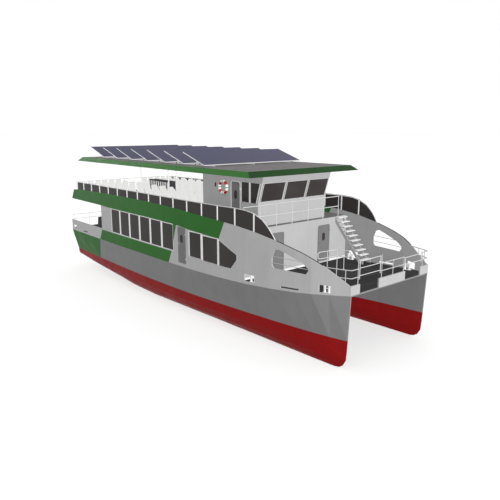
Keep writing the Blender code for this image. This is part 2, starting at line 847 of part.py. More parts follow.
def bow_wing(name, side):
    """The high bulwark that sweeps down to the bow, with its openings and its rails."""
    low, high = CABIN_FRONT_X + GAP, BOW_RAIL_X
    top = stretch(BAND_TOP, low, 8.96)[:-1] + list(WING_TOP)
    outline = [*knuckle_line(low, high), *reversed(top)]
    holes = [rounded(WING_OPENING, 0.06, 2)]
    holes += [rectangle(*port) for port in MOORING_PORTS]
    holes.append(list(FREEING_PORT))
    made = side_sheet(name, [outline, *holes], side, 0.0, PLATE, wall_paint())
    bars = [[side_point(side, x, z) for x in (8.69, 10.0, end)] for z, end in zip(WING_RAIL_Z, (10.76, 10.44))]
    join(made, tubes(name + "_bars", bars, 0.014))
    axis_y, _, _, gate_top = GATES[name.rsplit("_", 1)[1]]
    post_top = max(BOW_RAIL_Z[0] + 0.05, gate_top)
    near, far = sorted(side * y for y in BOW_PLATE_Y)
    foot = knuckle_z(BOW_PLATE_X[1]) + GAP
    join(made, boxes(name + "_coaming", [((BOW_PLATE_X[0], near, foot), (BOW_PLATE_X[1], far, BOW_PLATE_TOP_Z))]))
    corner = (BOW_RAIL_X, side * 2.78)
    end_y = side * GATE_POST_Y
    rails = []
    for z, start in zip(BOW_RAIL_Z, (11.38, 11.92)):
        path = [side_point(side, start, z), side_point(side, 12.22, z)]
        path += [(*corner, z), (BOW_RAIL_X, end_y - side * 0.005, z)]
        rails.append(path)
    join(made, tubes(name + "_rails", rails, RAIL_RADIUS))
    posts = [
        (side_point(side, 11.86, 4.00), side_point(side, 11.86, BOW_RAIL_Z[0]), POST_RADIUS),
        (side_point(side, 12.24, 3.75), side_point(side, 12.24, BOW_RAIL_Z[0]), POST_RADIUS),
        ((BOW_RAIL_X, end_y, BOW_PLATE_TOP_Z - 0.02), (BOW_RAIL_X, end_y, post_top), POST_RADIUS),
    ]
    join(made, cylinders(name + "_posts", posts))
    lugs = []
    for low_z in (GATE_FOOT_Z - GAP - 0.012, gate_top - 0.0197):
        near, far = sorted((end_y, axis_y - side * 0.02))
        lugs.append(((BOW_RAIL_X - 0.015, near, low_z), (BOW_RAIL_X + 0.015, far, low_z + 0.012)))
    join(made, boxes(name + "_lugs", lugs))
    return made


def bow_gate(name, side):
    """A gate that turns on its end tube, between the lugs of the bow rail."""
    axis_y, latch_y, rail_z, top = GATES[name.rsplit("_", 1)[1]]
    stiles = [
        ((BOW_RAIL_X, axis_y, GATE_FOOT_Z), (BOW_RAIL_X, axis_y, top - 0.02), POST_RADIUS),
        ((BOW_RAIL_X, latch_y, GATE_FOOT_Z), (BOW_RAIL_X, latch_y, rail_z[0] + 0.014), POST_RADIUS),
    ]
    made = cylinders(name, stiles, rail_paint())
    rails = [[(BOW_RAIL_X, axis_y, z), (BOW_RAIL_X, latch_y, z)] for z in rail_z]
    return join(made, tubes(name + "_rails", rails, 0.016))


def bow_rail_centre():
    """The middle plate of the bow coaming with its rail, whose starboard post latches the gate."""
    near, far = BOW_CENTRE_PLATE_Y
    foot = knuckle_z(WET_DECK[0][0]) + GAP
    plate = [((BOW_PLATE_X[0], near, foot), (BOW_PLATE_X[1], far, BOW_PLATE_TOP_Z))]
    made = boxes("bow_rail_centre", plate, wall_paint())
    tops = (GATES["starboard"][3], BOW_RAIL_Z[0], BOW_RAIL_Z[0])
    base = BOW_PLATE_TOP_Z - 0.02
    places = zip(BOW_CENTRE_POSTS_Y, tops)
    posts = [((BOW_RAIL_X, y, base), (BOW_RAIL_X, y, top), POST_RADIUS) for y, top in places]
    join(made, cylinders("bow_rail_centre_posts", posts))
    first, last = BOW_CENTRE_POSTS_Y[0], BOW_CENTRE_POSTS_Y[-1]
    rails = [[(BOW_RAIL_X, first, z), (BOW_RAIL_X, last + 0.02, z)] for z in BOW_RAIL_Z]
    return join(made, tubes("bow_rail_centre_rails", rails, RAIL_RADIUS))


def foredeck_rail():
    """The bent rail on the foredeck, its two bars joined by a bow at each end."""
    low, high = 3.60, 3.94
    line = [(8.15, 0.10), (8.30, 1.27), (8.90, 1.45)]
    start, end = (8.137, 0.0), (8.985, 1.476)
    path = [(*start, (low + high) / 2), (*start, high - 0.07)]
    path += [(*place, high) for place in line]
    path += [(*end, high - 0.07), (*end, low + 0.07)]
    path += [(*place, low) for place in reversed(line)]
    path += [(*start, low + 0.07), (*start, (low + high) / 2 - 0.002)]
    made = tubes("foredeck_rail", [path], RAIL_RADIUS, rail_paint())
    places = ((8.22, 0.62, high), (*line[1], high), (8.66, 1.378, low))
    posts = [((x, y, deck_z(x) + GAP + 0.0013), (x, y, top), POST_RADIUS) for x, y, top in places]
    posts.append(((*start, (low + high) / 2 - 0.03), (*start, (low + high) / 2 + 0.03), RAIL_RADIUS + 0.004))
    return join(made, cylinders("foredeck_rail_posts", posts))


def stern_rail():
    """The rail across the stern, with its ends along the bulwarks."""
    y_end = half_breadth(STERN_RAIL_X) - PLATE - 0.04
    ys = [-y_end + 2 * y_end * i / 6 for i in range(7)]
    base = MAIN_DECK_Z + GAP
    posts = [((STERN_RAIL_X, y, base), (STERN_RAIL_X, y, STERN_RAIL_Z[0]), POST_RADIUS) for y in ys]
    made = cylinders("stern_rail", posts, rail_paint())
    rails = [[(STERN_RAIL_X, -y_end - 0.02, z), (STERN_RAIL_X, y_end + 0.02, z)] for z in STERN_RAIL_Z]
    return join(made, tubes("stern_rail_rails", rails, RAIL_RADIUS))


# Doors


def doorway_frame(axis, along_wall, outward):
    """A function from place along the wall, depth outward and height to a point."""
    axis, along_wall, outward = Vector(axis), Vector(along_wall), Vector(outward)

    def point(u, n, z):
        return Vector((*(axis + along_wall * u + outward * n), z))

    return point


def hinge_blocks(point, heights, of_door):
    """Leaves and barrels of a door's two lift-off hinges, the door's halves above."""
    leaves, barrels = [], []
    depth = HINGE_OUT + DOOR_RECESS + 0.005
    for z in heights:
        low, high = (z + GAP, z + HINGE_HALF) if of_door else (z - HINGE_HALF, z)
        reach = (0.0, LEAF) if of_door else (-LEAF, -0.004)
        inner = -depth if of_door else -HINGE_OUT - 0.005
        corners = [point(u, n, h) for u in reach for n in (inner, 0.004) for h in (low, high)]
        leaves.append((
            [min(c[i] for c in corners) for i in range(3)],
            [max(c[i] for c in corners) for i in range(3)],
        ))
        barrels.append((point(0, 0, low), point(0, 0, high), HINGE_RADIUS))
    return leaves, barrels


def hinged_door(name, axis, along_wall, outward, width, z0, z1, wall):
    """A door that swings outward on two hinges, and the wall's halves of the hinges."""
    point = doorway_frame(axis, along_wall, outward)
    outer = -HINGE_OUT - DOOR_RECESS

    def shape(u, v, w):
        return point(u, outer - DOOR_THICK / 2 + w, v)

    made = sheet(name, [door_outline(0.0, width, z0, z1)], DOOR_THICK, shape, door_paint())
    heights = (z0 + 0.30, z1 - 0.32)
    for item, of_door in ((made, True), (wall, False)):
        leaves, barrels = hinge_blocks(point, heights, of_door)
        join(item, boxes(name + "_leaf", leaves))
        join(item, cylinders(name + "_barrel", barrels))
    return made


def side_door(name, side, wall):
    x0, x1, z0, z1 = SIDE_DOOR
    surface = half_breadth((x0 + x1) / 2)
    axis = (x1 - JAMB_CLEAR, side * (surface + HINGE_OUT))
    width = x1 - x0 - JAMB_CLEAR - LATCH_CLEAR
    return hinged_door(name, axis, (-1, 0), (0, side), width, z0 + SILL_CLEAR, z1 - SILL_CLEAR, wall)


def cross_door(name, span, hinge_high, x, facing, heights, wall):
    """A door in a wall across the vessel, hinged at one end of its span."""
    low, high = span
    edge, step = (high, -1) if hinge_high else (low, 1)
    axis = (x + facing * HINGE_OUT, edge + step * JAMB_CLEAR)
    width = high - low - JAMB_CLEAR - LATCH_CLEAR
    z0, z1 = heights
    return hinged_door(name, axis, (0, step), (facing, 0), width, z0 + SILL_CLEAR, z1 - SILL_CLEAR, wall)


def wheelhouse_door(name, side, wall):
    x0, x1, z0, z1 = WHEEL_DOOR
    axis = (x1 - JAMB_CLEAR, side * (WHEEL_HALF + HINGE_OUT))
    width = x1 - x0 - JAMB_CLEAR - LATCH_CLEAR
    return hinged_door(name, axis, (-1, 0), (0, side), width, z0 + SILL_CLEAR, z1 - SILL_CLEAR, wall)


def cross_wall(name, x, facing, doorways):
    """A wall across the cabin, its outer face at x, with its doorways."""
    inner_x = x - facing * PLATE
    edge = min(half_breadth(x), half_breadth(inner_x)) - PLATE - GAP
    low = max(deck_z(x), deck_z(inner_x)) + GAP
    high = UPPER_DECK_Z if facing > 0 else UPPER_DECK_Z - UPPER_DECK_THICK - GAP
    holes = [door_outline(*span, *heights) for span, heights in doorways]

    def shape(u, v, w):
        return Vector((x - facing * (PLATE / 2 + w), u, v))

    return sheet(name, [rectangle(-edge, edge, low, high), *holes], PLATE, shape, wall_paint())


# Upper deck


def upper_deck():
    def shape(u, v, w):
        return Vector((u, v, UPPER_DECK_Z - UPPER_DECK_THICK / 2 + w))

    outline = deck_outline(UPPER_DECK_AFT_X, CABIN_FRONT_X - PLATE - GAP, PLATE + GAP)
    return sheet("upper_deck", [outline], UPPER_DECK_THICK, shape, deck_paint(), STATION_X)


def glass_guard(name, side):
    """Dark glass above the band, rounded down to the wing at its front."""
    first = GLASS_TOP[0][0] + 0.03
    top = [(first, along(GLASS_TOP, first) - 0.03), *[(x, z - 0.03) for x, z in GLASS_TOP[1:-1]], (8.84, 5.20)]
    under = stretch(BAND_TOP, first, 8.84, GAP)
    return side_sheet(name, [[*under, *reversed(top)]], side, 0.035, 0.010, dark_glass())


def guard_rail(name, side):
    """Posts outside the glass and the top rail that follows it down to the wing."""
    posts, wide = [], 0.026
    for x in GUARD_POST_X:
        y = side * (half_breadth(x) - 0.016)
        base = max(along(BAND_TOP, x - wide / 2), along(BAND_TOP, x + wide / 2)) + GAP
        posts.append(((x - wide / 2, y - 0.013, base), (x + wide / 2, y + 0.013, along(GLASS_TOP, x))))
    made = boxes(name, posts, rail_paint())
    line = sorted({GUARD_POST_X[0] - 0.02, *GUARD_POST_X, *[row[0] for row in GLASS_TOP]})
    top = [side_point(side, x, along(GLASS_TOP, x), 0.018) for x in line]
    return join(made, tubes(name + "_top", [top], RAIL_RADIUS))


def aft_guard_rail():
    """The rail across the aft end of the upper deck, on stanchions."""
    x = GUARD_POST_X[0]
    ys = [-3.0, -1.5, 0.0, 1.5, 3.0]
    posts = [((x, y, UPPER_DECK_Z + GAP), (x, y, 6.27), POST_RADIUS) for y in ys]
    made = cylinders("guard_rail_aft", posts, rail_paint())
    side_edge = half_breadth(x)
    rails = []
    for z, inboard in ((along(GLASS_TOP, x), 0.0408), (5.95, 0.0294)):
        rails.append([(x, inboard - side_edge, z), (x, side_edge - inboard, z)])
    return join(made, tubes("guard_rail_aft_rails", rails, 0.020))


def front_rail():
    x = FRONT_RAIL_X
    base = UPPER_DECK_Z + GAP
    posts = [((x, y, base), (x, y, FRONT_RAIL_Z[0]), POST_RADIUS) for y in FRONT_RAIL_POSTS_Y]
    made = cylinders("front_rail", posts, rail_paint())
    rails = [[(x, FRONT_RAIL_POSTS_Y[0] - 0.02, z), (x, FRONT_RAIL_POSTS_Y[-1] + 0.02, z)] for z in FRONT_RAIL_Z]
    return join(made, tubes("front_rail_rails", rails, RAIL_RADIUS))


def stairs():
    """Treads on two narrow stringers, from the foredeck to the upper deck."""
    top_x, top_z = STAIR_TOP
    tread, thick = STAIR_TREAD
    low_y, high_y = STAIR_Y
    last_x = top_x + STAIR_RUN * (STAIR_STEPS - 1)
    foot_x = last_x + tread - 0.03
    rise = (top_z - deck_z(foot_x)) / STAIR_STEPS
    start = CABIN_FRONT_X + GAP
    drop = thick - 0.008
    last_z = top_z - rise * (STAIR_STEPS - 1) - drop
    outline = [
        (start, top_z - drop),
        (start, top_z - drop - 0.26),
        (last_x - 0.02, deck_z(last_x) + GAP + 0.002),
        (foot_x, deck_z(foot_x) + GAP + 0.002),
        (foot_x, last_z),
        (last_x, last_z),
        (top_x, top_z - drop),
    ]
    work = bmesh.new()
    for y in (low_y + 0.045, high_y - 0.045):

        def shape(u, v, w, y=y):
            return Vector((u, y + w, v))

        plate = sheet("stringer", [outline], 0.04, shape)
        work.from_mesh(plate.data)
        bpy.data.objects.remove(plate, do_unlink=True)
    mesh = bpy.data.meshes.new("stairs")
    work.to_mesh(mesh)
    work.free()
    made = make("stairs", mesh, wall_paint())
    treads = []
    for k in range(STAIR_STEPS):
        x, z = top_x + STAIR_RUN * k, top_z - rise * k
        treads.append(((x, low_y, z - thick), (x + tread, high_y, z)))
    return join(made, boxes("treads", treads))


# Wheelhouse and roof


def wheelhouse_front_x(z):
    return WHEEL_FRONT_X + max(0.0, z - WHEEL_SILL_Z) * WHEEL_RAKE


def wheelhouse_profile(inset, low, high):
    aft = WHEEL_AFT_X + inset
    front = WHEEL_FRONT_X - inset
    sill = WHEEL_SILL_Z
    return [(aft, low), (front, low), (front, sill), (front + (high - sill) * WHEEL_RAKE, high), (aft, high)]


def across_shape(centre_y):
    def shape(u, v, w):
        return Vector((u, centre_y + w, v))

    return shape


def wheelhouse():
    """A hollow house with a raked window band, open below to the deck and above to the roof."""
    low, high = UPPER_DECK_Z + GAP, ROOF_Z - GAP
    walls = sheet("wheelhouse_walls", [wheelhouse_profile(0, low, high)], 2 * WHEEL_HALF, across_shape(0), wall_paint())
    inner = wheelhouse_profile(PLATE, low - 0.5, high + 0.5)
    cut(walls, sheet("wheelhouse_inside", [inner], 2 * (WHEEL_HALF - PLATE), across_shape(0)))
    z0, z1 = WHEEL_WINDOW_Z
    cut(walls, boxes("front_windows", [((5.9, y0, z0), (7.2, y1, z1)) for y0, y1 in WHEEL_FRONT_WINDOWS_Y]))
    z0, z1 = WHEEL_SIDE_WINDOW_Z
    for i, (aft, low_x, high_x) in enumerate(WHEEL_SIDE_WINDOWS_X):
        outline = [(aft, z0), (low_x, z0), (high_x, z1), (aft, z1)]
        cut(walls, sheet(f"side_window_{i}", [outline], 6.0, across_shape(0)))
    cut(walls, sheet("wheelhouse_doorways", [door_outline(*WHEEL_DOOR)], 6.0, across_shape(0)))
    return walls


def wheelhouse_windows():
    """The front pane, raked, and a pane down each side, joined at the corners."""
    z0, z1 = WHEEL_SILL_Z + 0.005, 7.40
    back, ahead = PLATE + GAP + 0.015, PLATE + GAP + 0.0001
    outline = [
        (wheelhouse_front_x(z0) - back, z0),
        (wheelhouse_front_x(z0) - ahead, z0),
        (wheelhouse_front_x(z1) - ahead, z1),
        (wheelhouse_front_x(z1) - back, z1),
    ]
    made = sheet("wheelhouse_windows", [outline], 2 * (WHEEL_HALF - PLATE) - 0.012, across_shape(0), dark_glass())
    z0, z2, inset = 6.34, 7.405, PLATE + 0.005
    outline = [
        (5.10, z0),
        (WHEEL_FRONT_X - inset, z0),
        (WHEEL_FRONT_X - inset, WHEEL_SILL_Z),
        (wheelhouse_front_x(z2) - inset, z2),
        (5.10, z2),
    ]
    for name, side in SIDES:
        shape = across_shape(side * (WHEEL_HALF - PLATE - GAP - PANE / 2))
        join(made, sheet("wheelhouse_side_pane_" + name, [outline], PANE, shape))
    return made


def roof():
    """A slab with sloped edges, and the pillars that carry its aft part."""
    low_aft, low_front, low_half = ROOF_LOW
    top_aft, top_front, top_half = ROOF_TOP
    top_z = ROOF_Z + ROOF_THICK
    rings = [
        [(low_aft, -low_half, ROOF_Z), (low_front, -low_half, ROOF_Z), (low_front, low_half, ROOF_Z), (low_aft, low_half, ROOF_Z)],
        [(top_aft, -top_half, top_z), (top_front, -top_half, top_z), (top_front, top_half, top_z), (top_aft, top_half, top_z)],
    ]
    made = loft("roof", rings, green_paint())
    posts = [((x, y, UPPER_DECK_Z + GAP), (x, y, ROOF_Z + 0.05), PILLAR_RADIUS) for x, y in PILLARS]
    return join(made, cylinders("roof_pillars", posts, segments=16))


def solar_low_x(row):
    return SOLAR_FIRST_X - SOLAR_PITCH * row


def solar_frame(row):
    """Matrix from a panel's own place, x up the slope from its low edge, to the vessel."""
    tilt = math.atan2(SOLAR_RISE, SOLAR_RUN)
    turn = Matrix.Rotation(math.pi, 4, "Z") @ Matrix.Rotation(-tilt, 4, "Y")
    return Matrix.Translation((solar_low_x(row), 0, SOLAR_LOW_Z)) @ turn


def solar_row(row):
    """One row of panels on three triangular trusses that stand on the roof."""
    slope = math.hypot(SOLAR_RUN, SOLAR_RISE)
    span = [((0, -SOLAR_HALF, -SOLAR_THICK), (slope, SOLAR_HALF, 0))]
    made = boxes(f"solar_row_{row + 1}", span, solar_blue(), turn=solar_frame(row))
    low_x = solar_low_x(row)
    base = ROOF_Z + ROOF_THICK + GAP
    rise = SOLAR_RISE / SOLAR_RUN
    aft, front, bar = 1.70, 0.10, TRUSS_BAR

    def under(run):
        return SOLAR_LOW_Z + run * rise - SOLAR_THICK * 0.6

    outline = [(low_x - aft, base), (low_x - front, base), (low_x - front, under(front)), (low_x - aft, under(aft))]
    inner_front = front + bar / rise + 0.10
    hole = [
        (low_x - aft + bar, base + bar),
        (low_x - inner_front, base + bar),
        (low_x - inner_front, under(inner_front) - 1.6 * bar),
        (low_x - aft + bar, under(aft - bar) - 1.6 * bar),
    ]
    for k, y in enumerate(TRUSSES_Y):
        join(made, sheet(f"truss_{row}_{k}", [outline, hole], TRUSS_WIDTH, across_shape(y)))
    return made


def lifebuoy(name, side):
    minor = 0.075
    bpy.ops.mesh.primitive_torus_add(
        major_radius=0.30, minor_radius=minor, major_segments=24, minor_segments=8, location=(0, 0, 0)
    )
    made = bpy.context.object
    for holder in list(made.users_collection):
        holder.objects.unlink(made)
    FERRY.objects.link(made)
    made.name = name
    made.data.materials.append(buoy_red())
    made.location = (3.78, side * (WHEEL_HALF + minor + GAP), 6.99)
    made.rotation_euler = (math.pi / 2, 0, 0)
    return smooth(made)


def build():
    for name, side in SIDES:
        hull("hull_" + name, side)
        propeller("propeller_" + name, side)
        rudder("rudder_" + name, side)
        aft_bulwark("aft_bulwark_" + name, side)
        wall = cabin_side("cabin_side_" + name, side)
        side_door("side_door_" + name, side, wall)
        cabin_windows("cabin_windows_" + name, side)
        upper_band("upper_band_" + name, side)
        bow_wing("bow_wing_" + name, side)
        bow_gate("bow_gate_" + name, side)
        glass_guard("glass_guard_" + name, side)
        guard_rail("guard_rail_" + name, side)
        upper_seats("upper_seats_" + name, side)
        lifebuoy("lifebuoy_" + name, side)
        bitts("bow_bitts_" + name, "bow", side)
        bitts("side_bitts_" + name, "side", side)
    bridge_deck()
    main_deck()
    doorways = [(FRONT_DOORS_Y[name], FRONT_DOOR_Z) for name, _ in SIDES]
    front = cross_wall("cabin_front_wall", CABIN_FRONT_X, 1, doorways)
    for name, side in SIDES:
        span = FRONT_DOORS_Y[name]
        cross_door("front_door_" + name, span, side > 0, CABIN_FRONT_X, 1, FRONT_DOOR_Z, front)
    aft_z = (2.92, 4.90)
    aft = cross_wall("cabin_aft_wall", CABIN_AFT_X, -1, [(AFT_DOOR_Y, aft_z)])
    cross_door("aft_door", AFT_DOOR_Y, True, CABIN_AFT_X, -1, aft_z, aft)
    upper_deck()
    aft_guard_rail()
    front_rail()
    stairs()
    walls = wheelhouse()
    wheelhouse_windows()
    for name, side in SIDES:
        wheelhouse_door("wheelhouse_door_" + name, side, walls)
    roof()
    for row in range(SOLAR_ROWS):
        solar_row(row)
    bow_rail_centre()
    foredeck_rail()
    stern_rail()
    low, high, top = LOCKER
    boxes("deck_locker", [((*low, UPPER_DECK_Z + GAP), (*high, top))], finish("locker_dark", (0.06, 0.06, 0.065), 0.4))


build()
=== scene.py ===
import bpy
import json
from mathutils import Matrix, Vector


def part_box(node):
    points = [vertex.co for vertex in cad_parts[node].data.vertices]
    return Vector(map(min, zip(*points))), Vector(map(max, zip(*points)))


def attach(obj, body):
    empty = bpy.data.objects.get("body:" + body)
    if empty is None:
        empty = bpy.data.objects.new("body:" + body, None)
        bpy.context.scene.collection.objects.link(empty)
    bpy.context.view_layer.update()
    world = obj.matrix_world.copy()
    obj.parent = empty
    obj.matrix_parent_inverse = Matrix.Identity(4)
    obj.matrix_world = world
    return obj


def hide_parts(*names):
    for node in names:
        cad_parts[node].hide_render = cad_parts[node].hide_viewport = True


bl_info = {
    "name": "Passenger ferry",
    "version": (1, 0, 0),
    "blender": (4, 5, 0),
    "location": "3D View > Sidebar > Ferry",
    "description": "Paint, glass, doors, rails, seats and solar panels of a passenger ferry on two hulls",
    "category": "Object",
}

import json
import math

import bmesh
import bpy
from bpy.props import FloatProperty, FloatVectorProperty, IntProperty, PointerProperty
from mathutils import Matrix, Vector
from mathutils.bvhtree import BVHTree

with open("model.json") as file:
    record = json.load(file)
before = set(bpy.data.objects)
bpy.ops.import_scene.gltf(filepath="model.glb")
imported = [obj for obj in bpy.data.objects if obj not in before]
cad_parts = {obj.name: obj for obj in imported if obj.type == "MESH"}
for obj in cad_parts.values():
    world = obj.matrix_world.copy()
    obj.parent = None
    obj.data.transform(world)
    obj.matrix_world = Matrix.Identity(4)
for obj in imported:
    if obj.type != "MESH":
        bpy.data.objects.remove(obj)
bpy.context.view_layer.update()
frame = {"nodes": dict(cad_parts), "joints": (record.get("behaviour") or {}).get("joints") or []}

SIDES = (("starboard", -1), ("port", 1))
JOINTS = {joint["child"]: joint for joint in frame["joints"]}

# Places on the vessel, in metres
WATERLINE = 1.32
UPPER_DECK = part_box("upper_deck")[1].z
ROOF_TOP = 8.014
GUARD_POSTS = [-11.2] + [-10.02 + 1.26 * i for i in range(15)]
FRONT_RAIL_X = 6.72
FRONT_RAIL_POSTS = (-3.60, -2.58, -1.50, -0.42, 0.75, 1.88, 3.12)
FRONT_RAIL_TOP = 6.35
FRONT_RAIL_MIDDLE = 5.82
BOW_X = 12.46
BOW_RAIL_Z = (4.34, 4.00)
COAMING_TOP = 3.68
PILLARS = ((-8.7, 0.0), (-4.7, -0.31), (-4.7, 0.31))
SEAT_ROWS = [-10.0 + 0.97 * i for i in range(12)]
SEAT_LEGS = (1.00, 3.24)
AFT_BENCHES = (-8.0, -9.3)
SOLAR_ROWS = 7
SOLAR_FIRST = 3.5
SOLAR_PITCH = 1.807
SOLAR_RUN = 1.864
SOLAR_RISE = 0.60
SOLAR_LOW = 8.13
SOLAR_HALF = 3.44
SOLAR_DEEP = 0.04
TRUSSES = (-2.7, 0.0, 2.7)
STAIR_TOP = (6.76, 5.24)
STAIR_RUN = 0.190
STAIR_TREAD = 0.25
STAIR_STEPS = 10
LAMPS = (
    ("key", 12.0, (0.93, -0.04, 0.36)),
    ("starboard_fill", 3.9, (-0.05, -0.97, 0.20)),
    ("port_fill", 3.4, (0.05, 0.98, 0.12)),
    ("aft_fill", 3.4, (-0.98, 0.0, 0.12)),
)
BITTS = {"bow_bitts": (11.20, 11.44, 2.935), "side_bitts": (7.20, 7.47, 3.55)}


def colour(name, description, value):
    return FloatVectorProperty(
        name=name, description=description, subtype="COLOR", size=3, min=0.0, max=1.0, default=value
    )


def length(name, description, value):
    return FloatProperty(name=name, description=description, unit="LENGTH", min=0.0, default=value)


class FerryColours(bpy.types.PropertyGroup):
    wall: colour("Walls", "Paint of the cabin, the wheelhouse and the bulwarks", (0.13, 0.13, 0.131))
    trim: colour("Trim", "Paint of window frames, door frames and posts", (0.24, 0.24, 0.238))
    hull: colour("Topsides", "Hull paint above the waterline", (0.066, 0.066, 0.067))
    bottom: colour("Bottom", "Hull paint below the waterline", (0.082, 0.0012, 0.0014))
    green: colour("Green", "Paint of the band, the stripes and the roof edge", (0.0075, 0.042, 0.006))
    deck: colour("Decks", "Rough coating of the decks", (0.009, 0.009, 0.0094))
    roof: colour("Roof", "Coating of the roof", (0.05, 0.047, 0.047))
    door: colour("Doors", "Paint of the doors", (0.054, 0.053, 0.053))
    glass: colour("Glass", "Tinted glass", (0.015, 0.013, 0.013))
    rail: colour("Rails", "Powder coating of the rails", (0.17, 0.17, 0.17))
    seat: colour("Seats", "Moulded seats", (0.175, 0.175, 0.172))
    cell: colour("Solar cells", "Cells of the panels", (0.018, 0.018, 0.033))
    buoy: colour("Lifebuoys", "Coloured quarters of the lifebuoys", (0.115, 0.003, 0.004))
    locker: colour("Locker", "Paint of the deck locker", (0.012, 0.012, 0.013))


class FerrySizes(bpy.types.PropertyGroup):
    frame_wide: length("Frame width", "Width of the window frames", 0.085)
    frame_proud: length("Frame height", "How far the window frames stand out", 0.008)
    clamp_wide: length("Clamp width", "Width of the clamps that hold the guard's glass", 0.064)
    flange: length("Flange radius", "Radius of the foot of a rail's post", 0.055)
    chair_wide: length("Chair width", "Width of one moulded chair", 0.49)
    chairs: IntProperty(name="Chairs", description="Chairs on each side in one row", min=1, max=8, default=5)
    modules: IntProperty(name="Modules", description="Panels side by side in one row", min=1, max=12, default=7)


def colours():
    return bpy.context.scene.ferry_colours


def sizes():
    return bpy.context.scene.ferry_sizes


# Finishes


class Paint:
    """A finish in the making: one principled shader, its maps drawn in the vessel's coordinates."""

    def __init__(self, name, roughness, metallic=0.0, gloss=0.15):
        self.material = bpy.data.materials.new(name)
        self.material.use_nodes = True
        self.tree = self.material.node_tree
        self.shader = self.tree.nodes["Principled BSDF"]
        self.shader.inputs["Roughness"].default_value = roughness
        self.shader.inputs["Metallic"].default_value = metallic
        self.shader.inputs["Specular IOR Level"].default_value = gloss
        self.place = self.node("ShaderNodeTexCoord").outputs["Object"]
        self.x, self.y, self.z = self.node("ShaderNodeSeparateXYZ", self.place).outputs

    def node(self, kind, *values, **settings):
        made = self.tree.nodes.new(kind)
        for key, value in settings.items():
            setattr(made, key, value)
        for socket, value in zip(made.inputs, values):
            self.feed(socket, value)
        return made

    def feed(self, socket, value):
        if isinstance(value, bpy.types.NodeSocket):
            self.tree.links.new(value, socket)
        elif value is not None:
            if socket.type == "RGBA":
                value = (*value[:3], 1.0)
            socket.default_value = value

    def math(self, operation, *values):
        return self.node("ShaderNodeMath", *values, operation=operation).outputs[0]

    def line(self, value, slope, start):
        return self.math("MULTIPLY_ADD", value, slope, start)

    def spread(self, value, low, high, to_low=0.0, to_high=1.0):
        return self.node("ShaderNodeMapRange", value, low, high, to_low, to_high).outputs[0]

    def above(self, value, edge, soft=0.004):
        """1 where the value passes the edge, 0 below it."""
        if isinstance(edge, bpy.types.NodeSocket):
            value, edge = self.math("SUBTRACT", value, edge), 0.0
        return self.spread(value, edge - soft, edge + soft)

    def all_of(self, *shares):
        result = shares[0]
        for share in shares[1:]:
            result = self.math("MULTIPLY", result, share)
        return result

    def inverse(self, share):
        return self.math("SUBTRACT", 1.0, share)

    def mix(self, share, first, second):
        made = self.node("ShaderNodeMix", data_type="RGBA")
        self.feed(made.inputs[0], share)
        self.feed(made.inputs[6], first)
        self.feed(made.inputs[7], second)
        return made.outputs[2]

    def scaled(self, tone, share):
        made = self.node("ShaderNodeVectorMath", operation="SCALE")
        self.feed(made.inputs[0], tone[:3] if not isinstance(tone, bpy.types.NodeSocket) else tone)
        self.feed(made.inputs[3], share)
        return made.outputs[0]

    def noise(self, scale, stretch=None, detail=3.0):
        place = self.place
        if stretch:
            place = self.node("ShaderNodeVectorMath", self.place, stretch, operation="MULTIPLY").outputs[0]
        made = self.node("ShaderNodeTexNoise")
        self.feed(made.inputs["Vector"], place)
        self.feed(made.inputs["Scale"], scale)
        self.feed(made.inputs["Detail"], detail)
        return made.outputs["Fac"]

    def relief(self, height, strength, distance):
        made = self.node("ShaderNodeBump")
        self.feed(made.inputs["Strength"], strength)
        self.feed(made.inputs["Distance"], distance)
        self.feed(made.inputs["Height"], height)
        socket = self.shader.inputs["Normal"]
        if socket.links:
            self.feed(made.inputs["Normal"], socket.links[0].from_socket)
        self.tree.links.new(made.outputs["Normal"], socket)

    def tone(self, value):
        self.feed(self.shader.inputs["Base Color"], value)

    def rough(self, value):
        self.feed(self.shader.inputs["Roughness"], value)


def weathered(paint, tone, dirt, roughness):
    """Faint patches and rain streaks, orange peel and the slow waves of thin plate."""
    patches = paint.spread(paint.noise(0.8, detail=4.0), 0.35, 0.65, 1.0 - dirt * 0.5, 1.0 + dirt * 0.5)
    streaks = paint.spread(paint.noise(1.0, (5.5, 5.5, 0.35), 5.0), 0.50, 0.78, 1.0, 1.0 - dirt)
    paint.tone(paint.scaled(tone, paint.math("MULTIPLY", patches, streaks)))
    paint.rough(paint.spread(paint.noise(2.4), 0.3, 0.7, roughness - 0.06, roughness + 0.08))
    paint.relief(paint.noise(1.3, detail=1.0), 0.10, 0.012)
    paint.relief(paint.noise(240.0, detail=2.0), 0.06, 0.0006)


def seams(paint, step, start=0.0):
    """Fine ridges where plates are welded, across the length of the vessel."""
    spot = paint.math("PINGPONG", paint.math("ADD", paint.x, 40.0 + start), step / 2)
    ridge = paint.spread(spot, 0.0, 0.012, 1.0, 0.0)
    paint.relief(ridge, 0.35, 0.002)


def enamel(name, tone, roughness=0.42, dirt=0.05, gloss=0.04, pattern=None, step=0.0):
    paint = Paint(name, roughness, gloss=gloss)
    weathered(paint, pattern(paint, tone) if pattern else tone, dirt, roughness)
    if step:
        seams(paint, step)
    return paint.material


def hull_pattern(paint, tone):
    """Red below the waterline, and the green quarter aft of a slanted line."""
    slant = paint.line(paint.z, 0.4167, -8.925)
    green = paint.inverse(paint.above(paint.x, slant))
    above = paint.mix(green, tone, colours().green)
    return paint.mix(paint.above(paint.z, WATERLINE), colours().bottom, above)


